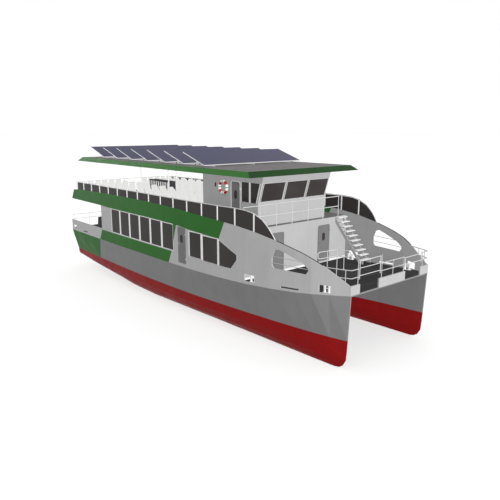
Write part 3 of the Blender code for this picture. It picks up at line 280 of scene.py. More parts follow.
def cabin_pattern(paint, tone):
    """The green stripe under the windows and the green slip beside the last of them."""
    rise = paint.math("SUBTRACT", paint.z, 3.38)
    steep, flat = paint.math("MULTIPLY", rise, 0.49), paint.math("MULTIPLY", rise, 0.33)
    slant = paint.math("ADD", paint.math("MINIMUM", steep, flat), 1.07)
    behind = paint.inverse(paint.above(paint.x, slant))
    low = paint.inverse(paint.above(paint.z, 3.41))
    slip = paint.all_of(paint.above(paint.x, 1.25), paint.inverse(low))
    return paint.mix(paint.all_of(behind, paint.math("MAXIMUM", low, slip)), tone, colours().green)


def bulwark_pattern(paint, tone):
    """The end of the green stripe, cut by the line that runs on down the hull."""
    slant = paint.line(paint.z, 0.56, -9.324)
    ahead = paint.above(paint.x, slant)
    return paint.mix(paint.all_of(ahead, paint.inverse(paint.above(paint.z, 3.41))), tone, colours().green)


def front_pattern(paint, tone):
    """A light kick strip along the foot of the cabin front."""
    return paint.mix(paint.above(paint.z, 2.99), colours().trim, tone)


def roof_pattern_and_shade(paint, tone):
    """Grey on top, green on the slopes with painted shade on those that face forward, pale below, with pale pillars."""
    facing = paint.node("ShaderNodeSeparateXYZ", paint.node("ShaderNodeNewGeometry").outputs["True Normal"]).outputs[2]
    ahead = paint.node("ShaderNodeSeparateXYZ", paint.node("ShaderNodeNewGeometry").outputs["True Normal"]).outputs[0]
    # Faces turned forward take the green at 0.30 of its brightness: painted shade.
    slope = paint.mix(paint.above(ahead, 0.5), colours().green, [c * 0.30 for c in colours().green])
    edge = paint.mix(paint.above(facing, 0.93), slope, tone)
    under = paint.mix(paint.above(facing, -0.9), colours().wall, edge)
    return paint.mix(paint.above(paint.z, 7.757), colours().trim, under)


def stairs_pattern_and_highlight(paint, tone):
    """Treads made pale by a painted highlight on the upward faces, between grey stringers."""
    facing = paint.node("ShaderNodeSeparateXYZ", paint.node("ShaderNodeNewGeometry").outputs["True Normal"]).outputs[2]
    # Upward faces get the trim made 1.15 times brighter: a painted highlight of light from above.
    return paint.mix(paint.above(facing, 0.7), tone, [c * 1.15 for c in colours().trim])


def make_hull():
    return enamel("hull_topsides", colours().hull, 0.40, 0.07, pattern=hull_pattern, step=2.4)


def make_cabin():
    return enamel("cabin_side_paint", colours().wall, pattern=cabin_pattern, step=2.44)


def make_bulwark():
    return enamel("bulwark_paint", colours().wall, pattern=bulwark_pattern, step=2.44)


def make_front():
    return enamel("cabin_front_paint", colours().wall, pattern=front_pattern)


def make_wall():
    return enamel("wall_paint", colours().wall, step=2.44)


def make_trim():
    return enamel("trim_paint", colours().trim, 0.38, 0.03)


def make_stairs():
    return enamel("stairs_paint_and_highlight", colours().wall, pattern=stairs_pattern_and_highlight)


def make_green():
    return enamel("green_paint", colours().green, 0.40, 0.05, step=2.44)


def make_roof():
    return enamel("roof_coating_and_shade", colours().roof, 0.60, 0.08, 0.06, roof_pattern_and_shade)


def make_door():
    return enamel("door_paint", colours().door, 0.45, 0.05)


def make_locker():
    return enamel("locker_paint", colours().locker, 0.5, 0.06)


def make_deck():
    return gritty("deck_grit", colours().deck)


def make_walkway():
    return gritty("walkway_grit", colours().roof)


def gritty(name, tone):
    """Coating with grit in it, a little polished where people walk."""
    paint = Paint(name, 0.85, gloss=0.03)
    worn = paint.spread(paint.noise(0.5, detail=5.0), 0.45, 0.70)
    grit = paint.noise(320.0, detail=2.0)
    mixed = paint.mix(worn, tone, [c * 1.5 for c in tone])
    paint.tone(paint.scaled(mixed, paint.spread(grit, 0.3, 0.7, 0.75, 1.3)))
    paint.rough(paint.spread(worn, 0.0, 1.0, 0.9, 0.74))
    paint.relief(grit, 0.5, 0.0015)
    return paint.material


def make_glass():
    """Tinted glass with the faint waver of rolled panes."""
    paint = Paint("tinted_glass", 0.12, gloss=0.05)
    tint = paint.spread(paint.noise(0.35, detail=2.0), 0.3, 0.7, 0.9, 1.15)
    paint.tone(paint.scaled(colours().glass, tint))
    paint.rough(paint.spread(paint.noise(6.0, detail=4.0), 0.4, 0.8, 0.06, 0.14))
    paint.relief(paint.noise(0.9, detail=1.0), 0.05, 0.004)
    return paint.material


def make_rail():
    """Powder coat over tube, its skin finely pebbled."""
    paint = Paint("rail_coat", 0.40, gloss=0.2)
    spots = paint.spread(paint.noise(14.0, detail=4.0), 0.35, 0.70, 1.04, 0.94)
    paint.tone(paint.scaled(colours().rail, spots))
    paint.relief(paint.noise(500.0, detail=1.0), 0.08, 0.0004)
    return paint.material


def make_rubber():
    paint = Paint("seal_rubber", 0.70, gloss=0.1)
    paint.tone(paint.scaled((0.005, 0.005, 0.005), paint.spread(paint.noise(30.0), 0.3, 0.7, 0.8, 1.3)))
    paint.relief(paint.noise(400.0), 0.15, 0.0005)
    return paint.material


def make_steel():
    """Brushed stainless steel."""
    paint = Paint("brushed_steel", 0.32, 1.0)
    brushed = paint.noise(60.0, (1.0, 1.0, 18.0), 4.0)
    paint.tone(paint.scaled((0.25, 0.25, 0.255), paint.spread(brushed, 0.3, 0.7, 0.88, 1.08)))
    paint.rough(paint.spread(brushed, 0.3, 0.7, 0.24, 0.42))
    paint.relief(brushed, 0.05, 0.0004)
    return paint.material


def make_seat():
    """Moulded shell with a fine leather grain and slight scuffs."""
    paint = Paint("seat_plastic", 0.48, gloss=0.2)
    scuffs = paint.spread(paint.noise(7.0, detail=6.0), 0.55, 0.80, 1.0, 0.90)
    paint.tone(paint.scaled(colours().seat, scuffs))
    paint.relief(paint.noise(350.0, detail=2.0), 0.2, 0.0006)
    return paint.material


def make_cell():
    """Dark cells under glass, with the fine gaps and bus bars between them."""
    paint = Paint("solar_cell", 0.35, gloss=0.03)
    across = paint.math("PINGPONG", paint.math("ADD", paint.y, 10.0), 0.0785)
    along = paint.math("PINGPONG", paint.math("ADD", paint.x, 20.0), 0.0755)
    gap = paint.spread(paint.math("MINIMUM", across, along), 0.0015, 0.0030, 1.0, 0.0)
    bars = paint.spread(paint.math("PINGPONG", paint.math("ADD", paint.y, 10.026), 0.026), 0.0, 0.0012, 1.0, 0.0)
    grain = paint.spread(paint.noise(9.0, detail=3.0), 0.35, 0.65, 0.93, 1.07)
    tone = paint.scaled(colours().cell, grain)
    tone = paint.mix(paint.math("MULTIPLY", bars, 0.15), tone, (0.06, 0.06, 0.08))
    paint.tone(paint.mix(paint.math("MULTIPLY", gap, 0.30), tone, (0.05, 0.05, 0.065)))
    paint.relief(bars, 0.05, 0.0002)
    return paint.material


def make_aluminium():
    paint = Paint("anodised_aluminium", 0.36, 0.25, 0.5)
    drawn = paint.noise(40.0, (1.0, 0.05, 1.0), 3.0)
    paint.tone(paint.scaled((0.24, 0.24, 0.245), paint.spread(drawn, 0.3, 0.7, 0.92, 1.06)))
    paint.relief(drawn, 0.06, 0.0004)
    return paint.material


def make_black_frame():
    """Dark anodised frame between two panels."""
    paint = Paint("black_frame", 0.45, gloss=0.15)
    paint.tone(paint.scaled((0.014, 0.014, 0.025), paint.spread(paint.noise(40.0), 0.3, 0.7, 0.9, 1.15)))
    paint.relief(paint.noise(300.0), 0.05, 0.0003)
    return paint.material


def make_buoy():
    """Red quarters on a white ring, by the angle round its middle."""
    paint = Paint("lifebuoy_skin", 0.45, gloss=0.15)
    turn = paint.math("ARCTAN2", paint.math("SUBTRACT", paint.z, 6.99), paint.math("SUBTRACT", paint.x, 3.78))
    wave = paint.math("COSINE", paint.math("MULTIPLY", turn, 4.0))
    tone = paint.mix(paint.above(wave, -0.25, 0.02), colours().buoy, (0.26, 0.26, 0.25))
    paint.tone(paint.scaled(tone, paint.spread(paint.noise(11.0, detail=5.0), 0.5, 0.8, 1.0, 0.88)))
    paint.relief(paint.noise(260.0), 0.15, 0.0008)
    return paint.material


def make_bronze():
    paint = Paint("propeller_bronze", 0.34, 1.0)
    worn = paint.noise(18.0, detail=5.0)
    paint.tone(paint.mix(paint.spread(worn, 0.4, 0.7), (0.30, 0.19, 0.07), (0.17, 0.11, 0.045)))
    paint.rough(paint.spread(worn, 0.35, 0.7, 0.26, 0.48))
    paint.relief(worn, 0.08, 0.001)
    return paint.material


def make_bottom():
    paint = Paint("bottom_paint", 0.62, gloss=0.1)
    patches = paint.spread(paint.noise(3.0, detail=6.0), 0.35, 0.7, 1.05, 0.82)
    paint.tone(paint.scaled(colours().bottom, patches))
    paint.relief(paint.noise(90.0, detail=4.0), 0.25, 0.0012)
    return paint.material


def make_floor():
    paint = Paint("studio_floor", 0.9, gloss=0.0)
    paint.tone(paint.scaled((0.37, 0.37, 0.37), paint.spread(paint.noise(0.05), 0.3, 0.7, 0.995, 1.005)))
    return paint.material


MAKERS = {
    "hull": make_hull,
    "cabin": make_cabin,
    "bulwark": make_bulwark,
    "front": make_front,
    "wall": make_wall,
    "trim": make_trim,
    "stairs": make_stairs,
    "green": make_green,
    "walkway": make_walkway,
    "roof": make_roof,
    "door": make_door,
    "locker": make_locker,
    "deck": make_deck,
    "glass": make_glass,
    "rail": make_rail,
    "rubber": make_rubber,
    "steel": make_steel,
    "seat": make_seat,
    "cell": make_cell,
    "black_frame": make_black_frame,
    "aluminium": make_aluminium,
    "buoy": make_buoy,
    "bronze": make_bronze,
    "bottom": make_bottom,
    "floor": make_floor,
}
MADE = {}


def finish(name):
    if name not in MADE:
        MADE[name] = MAKERS[name]()
    return MADE[name]


def coat(name, *nodes):
    """Gives CAD nodes a finish in place of their plain one."""
    for node in nodes:
        slots = frame["nodes"][node].material_slots
        for slot in slots:
            slot.material = finish(name)


# Shapes


class Form:
    """A mesh in the making, in metres in the vessel's frame."""

    def __init__(self, *finishes):
        self.bm = bmesh.new()
        self.finishes = finishes
        self.paint = 0

    def use(self, name):
        self.paint = self.finishes.index(name)
        return self

    def face(self, corners):
        made = self.bm.faces.new(corners)
        made.material_index = self.paint
        return made

    def rings(self, rings, closed=False, caps=True):
        """Joins rings of the same number of points into one skin."""
        rows = [[self.bm.verts.new(point) for point in ring] for ring in rings]
        pairs = list(zip(rows, rows[1:]))
        if closed:
            pairs.append((rows[-1], rows[0]))
        count = len(rows[0])
        for first, second in pairs:
            for i in range(count):
                j = (i + 1) % count
                self.face((first[i], first[j], second[j], second[i]))
        if caps and not closed:
            self.face(rows[0][::-1])
            self.face(rows[-1])

    def bar(self, path, radius, sides=10, closed=False):
        """A round bar along a path, mitred where it bends."""
        self.section(path, circle(radius, sides), closed)

    def section(self, path, shape, closed=False, up=(0, 0, 1)):
        """A bar of any section: points across the path, right and up of its first stretch."""
        points = [Vector(p) for p in path]
        count = len(points)
        steps = [(points[(i + 1) % count] - points[i]).normalized() for i in range(count)]
        if not closed:
            steps[-1] = steps[-2]
        first = steps[0]
        up = Vector(up)
        if abs(first.dot(up)) > 0.95:
            up = Vector((1, 0, 0))
        right = first.cross(up).normalized()
        up = right.cross(first).normalized()
        ring = [points[0] + right * a + up * b for a, b in shape]
        if closed:
            ring = slid(ring, points[0], first, (steps[-1] + first).normalized())
        rings = [ring]
        for i in range(1, count):
            ahead = steps[i] if closed or i < count - 1 else steps[i - 1]
            ring = slid(ring, points[i], steps[i - 1], (steps[i - 1] + ahead).normalized())
            rings.append(ring)
        self.rings(rings, closed)

    def block(self, low, high, bevel=0.0, turn=None):
        """A box with chamfered edges, between two corners."""
        low, high = Vector(low), Vector(high)
        made = bmesh.ops.create_cube(self.bm, size=1.0)
        verts = made["verts"]
        for vert in verts:
            vert.co = Vector(low[i] + (vert.co[i] + 0.5) * (high[i] - low[i]) for i in range(3))
        faces = {face for vert in verts for face in vert.link_faces}
        for face in faces:
            face.material_index = self.paint
        if bevel:
            edges = list({edge for vert in verts for edge in vert.link_edges})
            made = bmesh.ops.bevel(self.bm, geom=edges, offset=bevel, segments=2, affect="EDGES", profile=0.6)
            faces = set(made["faces"]) | {face for face in faces if face.is_valid}
            verts = {vert for face in faces for vert in face.verts}
            for face in faces:
                face.material_index = self.paint
        if turn is not None:
            bmesh.ops.transform(self.bm, matrix=turn, verts=list(verts))

    def slab(self, outline, thick, place, inner=None, bevel=0.0):
        """A plate from an outline, with a raised chamfer, or a frame between two outlines."""
        levels = [(0.0, 0.0), (thick - bevel, 0.0), (thick, bevel)] if bevel else [(0.0, 0.0), (thick, 0.0)]
        if inner is None:
            self.rings([[place(u, v, w) for u, v in shrunk(outline, inset)] for w, inset in levels])
            return
        rings = [[place(u, v, w) for u, v in shrunk(outline, inset)] for w, inset in levels]
        rings += [[place(u, v, w) for u, v in shrunk(inner, -inset)] for w, inset in reversed(levels)]
        self.rings(rings, closed=True)

    def turned(self, profile, centre, axis, sides=20):
        """A turned shape: radius and place along its axis, from end to end."""
        axis = Vector(axis).normalized()
        side = axis.orthogonal().normalized()
        other = axis.cross(side)
        centre = Vector(centre)
        rings = []
        for radius, along in profile:
            ring = []
            for k in range(sides):
                angle = 2 * math.pi * k / sides
                ring.append(centre + axis * along + (side * math.cos(angle) + other * math.sin(angle)) * radius)
            rings.append(ring)
        self.rings(rings)

    def stamp(self, points, faces, place):
        """Copies a ready-made shape into place."""
        verts = [self.bm.verts.new(place(point)) for point in points]
        for corners in faces:
            self.face([verts[i] for i in corners])

    def piece(self, name, body="vessel", sharp=35.0, replaces=()):
        bmesh.ops.recalc_face_normals(self.bm, faces=self.bm.faces)
        mesh = bpy.data.meshes.new(name)
        self.bm.to_mesh(mesh)
        self.bm.free()
        for name_of in self.finishes:
            mesh.materials.append(finish(name_of))
        mesh.shade_smooth()
        mesh.set_sharp_from_angle(angle=math.radians(sharp))
        made = bpy.data.objects.new(name, mesh)
        bpy.context.scene.collection.objects.link(made)
        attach(made, body)
        if replaces:
            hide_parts(*replaces)
        return made


def circle(radius, sides):
    return [(radius * math.cos(a), radius * math.sin(a)) for a in (2 * math.pi * k / sides for k in range(sides))]


def slid(ring, point, step, normal):
    """Moves a ring along a step until it lies in the plane through the point."""
    reach = step.dot(normal)
    if abs(reach) < 0.15:
        return [p + (point - ring_middle(ring)) for p in ring]
    return [p + step * ((point - p).dot(normal) / reach) for p in ring]


def ring_middle(ring):
    return sum(ring, Vector()) / len(ring)


def shrunk(outline, inset):
    """An outline moved inwards by the inset, mitred at its corners."""
    if abs(inset) < 1e-9:
        return list(outline)
    count = len(outline)
    area = sum(outline[i - 1][0] * outline[i][1] - outline[i][0] * outline[i - 1][1] for i in range(count))
    sign = 1.0 if area > 0 else -1.0
    moved = []
    for i in range(count):
        here = Vector(outline[i])
        back = (here - Vector(outline[i - 1])).normalized()
        ahead = (Vector(outline[(i + 1) % count]) - here).normalized()
        left = Vector((-back.y, back.x)) + Vector((-ahead.y, ahead.x))
        if left.length < 1e-6:
            left = Vector((-back.y, back.x)) * 2
        left.normalize()
        reach = max(0.4, left.dot(Vector((-back.y, back.x))))
        moved.append(tuple(here + left * (sign * inset / reach)))
    return moved


def rounded_box(x0, x1, y0, y1, radii, steps=5):
    """A rectangle with a radius at each corner, from its low left corner round."""
    outline = []
    corners = ((x0, y0, 180), (x1, y0, 270), (x1, y1, 0), (x0, y1, 90))
    for (x, y, start), radius in zip(corners, radii):
        if radius < 1e-6:
            outline.append((x, y))
            continue
        cx = x + radius if x == x0 else x - radius
        cy = y + radius if y == y0 else y - radius
        for k in range(steps + 1):
            angle = math.radians(start + 90 * k / steps)
            outline.append((cx + radius * math.cos(angle), cy + radius * math.sin(angle)))
    return outline


# Reading the CAD nodes

TREES = {}


def tree_of(node):
    if node not in TREES:
        mesh = frame["nodes"][node].data
        points = [vert.co.copy() for vert in mesh.vertices]
        TREES[node] = BVHTree.FromPolygons(points, [list(p.vertices) for p in mesh.polygons])
    return TREES[node]


def cast(nodes, origin, direction):
    """The nearest point that a line from the origin meets on the nodes."""
    best = None
    for node in nodes:
        spot, _, _, distance = tree_of(node).ray_cast(Vector(origin), Vector(direction))
        if spot is not None and (best is None or distance < best[1]):
            best = (spot, distance)
    if best is None:
        raise RuntimeError(f"nothing of {nodes} lies on the line from {tuple(origin)}")
    return best[0]


def upper_side(name):
    return ("upper_band_" + name, "cabin_side_" + name, "bow_wing_" + name)


def side_surface(name, side, x, z):
    """The outer face of the vessel's side at a place."""
    return cast(upper_side(name), (x, side * 6.0, z), (0, -side, 0)).y


def wall_loops(node, facing):
    """Closed edges of a wall's outer face, each a list of points with the wall's normal there."""
    facing = Vector(facing)
    bm = bmesh.new()
    bm.from_mesh(frame["nodes"][node].data)
    bmesh.ops.remove_doubles(bm, verts=bm.verts, dist=2e-4)
    bm.normal_update()
    links, normals = {}, {}
    for edge in bm.edges:
        if len(edge.link_faces) != 2:
            continue
        first, second = sorted(edge.link_faces, key=lambda face: -face.normal.dot(facing))
        if first.normal.dot(facing) > 0.8 and second.normal.dot(facing) < 0.5:
            for vert, other in (tuple(edge.verts), tuple(edge.verts)[::-1]):
                links.setdefault(vert, []).append(other)
                normals[vert] = normals.get(vert, Vector()) + first.normal
    loops, seen = [], set()
    for start in links:
        if start in seen:
            continue
        chain, here, back = [start], start, None
        seen.add(start)
        while True:
            ahead = [v for v in links[here] if v is not back and (v not in seen or v is start)]
            if not ahead or len(links[here]) != 2:
                chain = None
                break
            if ahead[0] is start and back is not None:
                break
            back, here = here, ahead[0]
            seen.add(here)
            chain.append(here)
        if chain and len(chain) > 2:
            loops.append(straightened([(v.co.copy(), normals[v].normalized()) for v in chain]))
    bm.free()
    return loops


def straightened(loop):
    kept = []
    count = len(loop)
    for i in range(count):
        back = (loop[i][0] - loop[i - 1][0]).normalized()
        ahead = (loop[(i + 1) % count][0] - loop[i][0]).normalized()
        if back.dot(ahead) < 0.99995:
            kept.append(loop[i])
    return kept


def span(loop):
    points = [point for point, _ in loop]
    low = Vector(min(p[i] for p in points) for i in range(3))
    high = Vector(max(p[i] for p in points) for i in range(3))
    return low, high


def grown(loop, widths):
    """A loop whose edges are each moved outwards by a width of their own."""
    count = len(loop)
    middle = sum((point for point, _ in loop), Vector()) / count
    turn = sum((loop[i - 1][0] - middle).cross(loop[i][0] - middle).dot(loop[i][1]) for i in range(count))
    edges = []
    for i in range(count):
        here, after = loop[i][0], loop[(i + 1) % count][0]
        way = (after - here).normalized()
        away = way.cross(loop[i][1]).normalized() * math.copysign(1, turn)
        edges.append((away, widths((here + after) / 2, way)))
    moved = []
    for i in range(count):
        (first, a), (second, b) = edges[i - 1], edges[i]
        share = first.dot(second)
        if share > 0.97:
            step = (first + second).normalized() * ((a + b) / 2)
        else:
            base = 1 - share * share
            step = first * ((a - share * b) / base) + second * ((b - share * a) / base)
        moved.append((loop[i][0] + step, loop[i][1]))
    return moved


def lifted(loop, height):
    return [point + normal * height for point, normal in loop]


def border(form, loop, inner, widths, proud, lip=0.003):
    """A frame on a wall's face, from inner beyond the loop to the width of each edge."""
    outer = grown(loop, widths)
    outer_lip = grown(loop, lambda middle, way: widths(middle, way) - lip)
    edge, edge_lip = grown(loop, lambda *_: inner), grown(loop, lambda *_: inner + lip)
    rings = [
        lifted(outer, -0.001), lifted(outer, proud - lip), lifted(outer_lip, proud),
        lifted(edge_lip, proud), lifted(edge, proud - lip), lifted(edge, -0.001),
    ]
    form.rings([list(ring) for ring in zip(*rings)], closed=True)


def pane(form, loop, reach, proud):
    """Glass bonded over an opening, its edge ground round."""
    edge, ground = grown(loop, lambda *_: reach), grown(loop, lambda *_: reach - 0.002)
    form.rings([lifted(edge, -0.001), lifted(edge, proud - 0.002), lifted(ground, proud)])


# Operators


def is_window(loop):
    low, high = span(loop)
    size = high - low
    return 0.3 < max(size.x, size.y) < 2.3 and 0.5 < size.z < 1.75


def is_doorway(loop):
    low, high = span(loop)
    size = high - low
    return 0.5 < max(size.x, size.y) < 1.2 and size.z > 1.75


def cabin_widths(middle, way):
    """Broad jambs between the panes, thin strips above and below, next to none at the ends."""
    if abs(way.z) > 0.8:
        return 0.0995 if not 1.2 < middle.x < 1.3 and middle.x < 6.3 else 0.014
    if middle.x > 5.2 or (middle.x > 2.7 and middle.z < 3.6):
        return 0.014
    return 0.042


def front_widths(middle, way):
    return 0.054 if abs(way.z) > 0.8 else 0.024


def side_widths(middle, way):
    return 0.072 if abs(way.z) > 0.8 else 0.024


def frames_for(name, nodes, reach, widths, doors, paint="trim"):
    """Bonded panes with their frames and black seals, and door frames, on walls' outer faces."""
    form = Form(paint, "rubber", "glass")
    proud = sizes().frame_proud
    for node, facing in nodes:
        for loop in wall_loops(node, facing):
            if is_window(loop):
                border(form.use(paint), loop, reach + 0.004, widths, proud)
                border(form.use("rubber"), loop, reach - 0.004, lambda *_: reach + 0.005, proud * 0.75, 0.001)
                pane(form.use("glass"), loop, reach, proud * 0.6)
            elif is_doorway(loop):
                border(form.use(paint), loop, 0.002, lambda *_: doors, proud)
    return form.piece(name)


class FERRY_OT_hulls(bpy.types.Operator):
    """Paints the hulls, the bridge between them and the bulwarks"""

    bl_idname = "ferry.hulls"
    bl_label = "Hulls"

    def execute(self, context):
        coat("hull", "hull_starboard", "hull_port", "bridge_deck")
        for name, _ in SIDES:
            coat("bulwark", "aft_bulwark_" + name)
            coat("wall", "bow_wing_" + name)
            coat("bottom", "rudder_" + name)
            coat("bronze", "propeller_" + name)
        coat("wall", "bow_rail_centre")
        return {"FINISHED"}


class FERRY_OT_decks(bpy.types.Operator):
    """Coats the decks with grit and the roof with its coating"""

    bl_idname = "ferry.decks"
    bl_label = "Decks"

    def execute(self, context):
        coat("deck", "main_deck")
        coat("walkway", "upper_deck")
        coat("roof", "roof")
        return {"FINISHED"}


class FERRY_OT_walls(bpy.types.Operator):
    """Paints the walls and frames their windows and doorways"""

    bl_idname = "ferry.walls"
    bl_label = "Walls and windows"

    def execute(self, context):
        coat("front", "cabin_front_wall")
        coat("wall", "cabin_aft_wall", "wheelhouse_walls")
        coat("stairs", "stairs")
        coat("glass", "wheelhouse_windows")
        for name, side in SIDES:
            coat("cabin", "cabin_side_" + name)
            coat("green", "upper_band_" + name)
            coat("glass", "cabin_windows_" + name, "glass_guard_" + name)
            frames_for("cabin_frames_" + name, [("cabin_side_" + name, (0, side, 0))], 0.004, cabin_widths, 0.062)
            frames_for("wheelhouse_frames_" + name, [("wheelhouse_walls", (0, side, 0))], 0.015, side_widths, 0.03)
        frames_for("wheelhouse_front_frames", [("wheelhouse_walls", (1, 0, 0))], 0.012, front_widths, 0.03)
        ends = [("cabin_front_wall", (1, 0, 0)), ("cabin_aft_wall", (-1, 0, 0))]
        frames_for("cabin_end_frames", ends, 0.004, cabin_widths, 0.05, "wall")
        return {"FINISHED"}


class FERRY_OT_ports(bpy.types.Operator):
    """Rims the mooring ports, the freeing ports and the large openings of the bulwarks"""

    bl_idname = "ferry.ports"
    bl_label = "Ports"

    def execute(self, context):
        for name, side in SIDES:
            form = Form("wall", "rubber")
            for node in ("bow_wing_" + name, "aft_bulwark_" + name):
                for loop in wall_loops(node, (0, side, 0)):
                    low, high = span(loop)
                    if high.x - low.x < 3.0 and high.z - low.z > 0.15:
                        border(form.use("wall"), loop, 0.001, lambda *_: 0.014, 0.005, 0.002)
            form.use("rubber").section(wing_edge(name, side), WING_CAP)
            form.piece("port_rims_" + name)
        return {"FINISHED"}


WING_CAP = [(-0.027, -0.006), (0.027, -0.006), (0.027, 0.004), (0.021, 0.008), (-0.021, 0.008), (-0.027, 0.004)]


def wing_edge(name, side):
    """The middle of the bow wing's top edge, from the guard's end towards the bow rail."""
    node = "bow_wing_" + name
    edge = []
    for k in range(22):
        x = 8.98 + 0.11 * k
        y = side * next(4.0 - 0.01 * m for m in range(150) if top_of(node, x, side * (4.0 - 0.01 * m)) is not None)
        z = top_of(node, x, y).z
        y = cast([node], (x, side * 6.0, z - 0.03), (0, -side, 0)).y - side * 0.025
        edge.append((x, y, z + 0.001))
    return edge


def top_of(node, x, y):
    return tree_of(node).ray_cast(Vector((x, y, 8.0)), Vector((0, 0, -1)))[0]


def door_place(body):
    """Where a door is: its joint's axis, the way along it, the way out, and its measures."""
    joint = JOINTS[body]
    low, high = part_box(body)
    axis = Vector(joint["pos_m"])
    across = 0 if high.x - low.x > high.y - low.y else 1
    outward = Vector((0, 0, 0))
    outward[1 - across] = math.copysign(1, axis[1 - across] - (low[1 - across] + high[1 - across]) / 2)
    along = Vector((0, 0, 0))
    along[across] = math.copysign(1, (low[across] + high[across]) / 2 - axis[across])
    width = high[across] - low[across] - 0.012
    face = 0.035

    def place(u, v, w):
        """u from the hinge, v from the sill, w out of the door's face."""
        spot = axis + along * u + outward * (w - face)
        return Vector((spot.x, spot.y, low.z + v))

    return place, width, high.z - low.z


def dress_door(body, slim):
    """Stiffened edge, an oval light with its rim, lever handles and a kick plate."""
    place, width, tall = door_place(body)
    form = Form("door", "glass", "rubber", "steel")
    edge = rounded_box(0.022, width - 0.018, 0.02, tall - 0.015, (0.01, 0.01, 0.09, 0.09))
    field = rounded_box(0.085, width - 0.080, 0.11, tall - 0.08, (0.03, 0.03, 0.06, 0.06))
    middle, light = width / 2, tall * 0.68
    wide, high = 0.085, 0.185
    oval = rounded_box(middle - wide, middle + wide, light - high, light + high, (wide * 0.98,) * 4, 8)
    rim = shrunk(oval, -0.028)
    thick = 0.04

    def back(u, v, w):
        return place(u, v, -thick - w)

    for side in (place, back):
        form.use("door").slab(edge, 0.007, side, field, 0.003)
        form.use("rubber").slab(rim, 0.010, side, shrunk(oval, -0.004), 0.003)
        form.use("glass").slab(shrunk(oval, -0.006), 0.004, side)
        form.use("door").slab(rounded_box(0.10, width - 0.10, 0.13, 0.33, (0.01,) * 4, 2), 0.002, side, None, 0.001)
        form.use("steel")
        plate = rounded_box(width - 0.135, width - 0.085, 0.93, 1.13, (0.02,) * 4, 4)
        form.slab(plate, 0.008, side, None, 0.003)
        spindle = side(width - 0.110, 1.06, 0.004)
        end = side(width - 0.110, 1.06, 0.052)
        form.bar([spindle, end], 0.011, 12)
        lever = [side(width - 0.110, 1.06, 0.050), side(width - 0.135, 1.062, 0.054), side(width - 0.235, 1.058, 0.050)]
        form.bar(lever, 0.009, 10)
        form.turned([(0.0001, 0.0), (0.013, 0.0), (0.013, 0.012), (0.0001, 0.014)], side(width - 0.110, 0.975, 0.004), end - spindle, 14)
    return form.piece(body + "_fittings", body)


class FERRY_OT_doors(bpy.types.Operator):
    """Paints the doors and gives them windows, handles and stiffened edges"""

    bl_idname = "ferry.doors"
    bl_label = "Doors"

    def execute(self, context):
        doors = ["aft_door"]
        for name, _ in SIDES:
            doors += ["side_door_" + name, "front_door_" + name, "wheelhouse_door_" + name]
        coat("door", *doors)
        for body in doors:
            dress_door(body, body.startswith("wheel"))
        return {"FINISHED"}


def flange(form, spot, radius, up=(0, 0, 1)):
    """A post's round foot with its weld and four screws."""
    spot, up = Vector(spot), Vector(up)
    form.use("rail").turned(
        [(radius, 0.0005), (radius, 0.007), (radius - 0.004, 0.009), (0.026, 0.010), (0.020, 0.018)], spot, up, 20
    )
    side = up.orthogonal().normalized()
    for k in range(4):
        arm = Matrix.Rotation(math.radians(45 + 90 * k), 3, up) @ side
        place = spot + arm * (radius * 0.72)
        form.use("steel").turned([(0.0075, 0.008), (0.0075, 0.013), (0.005, 0.015)], place, up, 6)


def collar(form, spot, direction, radius=0.027, reach=0.03):
    """A sleeve round a joint of two tubes."""
    direction = Vector(direction).normalized()
    spot = Vector(spot)
    form.use("rail").turned([(radius - 0.004, -reach), (radius, -reach + 0.004), (radius, reach - 0.004), (radius - 0.004, reach)], spot, direction, 16)


class FERRY_OT_rails(bpy.types.Operator):
    """Coats the rails and adds the feet of their posts and the sleeves where tubes meet"""

    bl_idname = "ferry.rails"
    bl_label = "Rails"

    def execute(self, context):
        coat("rail", "front_rail", "stern_rail", "guard_rail_aft", "foredeck_rail")
        for name, _ in SIDES:
            coat("rail", "guard_rail_" + name, "bow_gate_" + name)
        radius = sizes().flange
        form = Form("rail", "steel")
        for y in FRONT_RAIL_POSTS:
            flange(form, (FRONT_RAIL_X, y, UPPER_DECK), 0.030)
            for z in (FRONT_RAIL_TOP, FRONT_RAIL_MIDDLE):
                collar(form, (FRONT_RAIL_X, y, z), (0, 1, 0))
        form.piece("front_rail_fittings")
        form = Form("rail", "steel")
        for x, y in ((8.22, 0.62), (8.30, 1.27), (8.66, 1.378)):
            spot = cast(["main_deck"], (x, y, 5.0), (0, 0, -1))
            flange(form, spot, radius)
        form.piece("foredeck_rail_fittings")
        form = Form("rail", "steel")
        edge = 3.594
        for k in range(7):
            y = -edge + 2 * edge * k / 6
            flange(form, (-12.36, y, 2.88), radius)
            for z in (3.82, 3.50):
                collar(form, (-12.36, y * 0.995, z), (0, 1, 0))
        for y in (-3.0, -1.5, 0.0, 1.5, 3.0):
            flange(form, (-11.2, y, UPPER_DECK), radius)
            for z in (6.27, 5.95):
                collar(form, (-11.2, y, z), (0, 1, 0), 0.025)
        form.piece("stern_rail_fittings")
        form = Form("rail", "steel")
        for y in (-2.36, -0.76, 0.065, 0.875, 2.36):
            flange(form, (BOW_X - 0.012, y, COAMING_TOP), 0.030)
            for z in BOW_RAIL_Z:
                if abs(y) < 2 or abs(y) > 2:
                    collar(form, (BOW_X, y * 0.998, z), (0, 0, 1), 0.027, 0.026)
        form.piece("bow_rail_fittings")
        return {"FINISHED"}


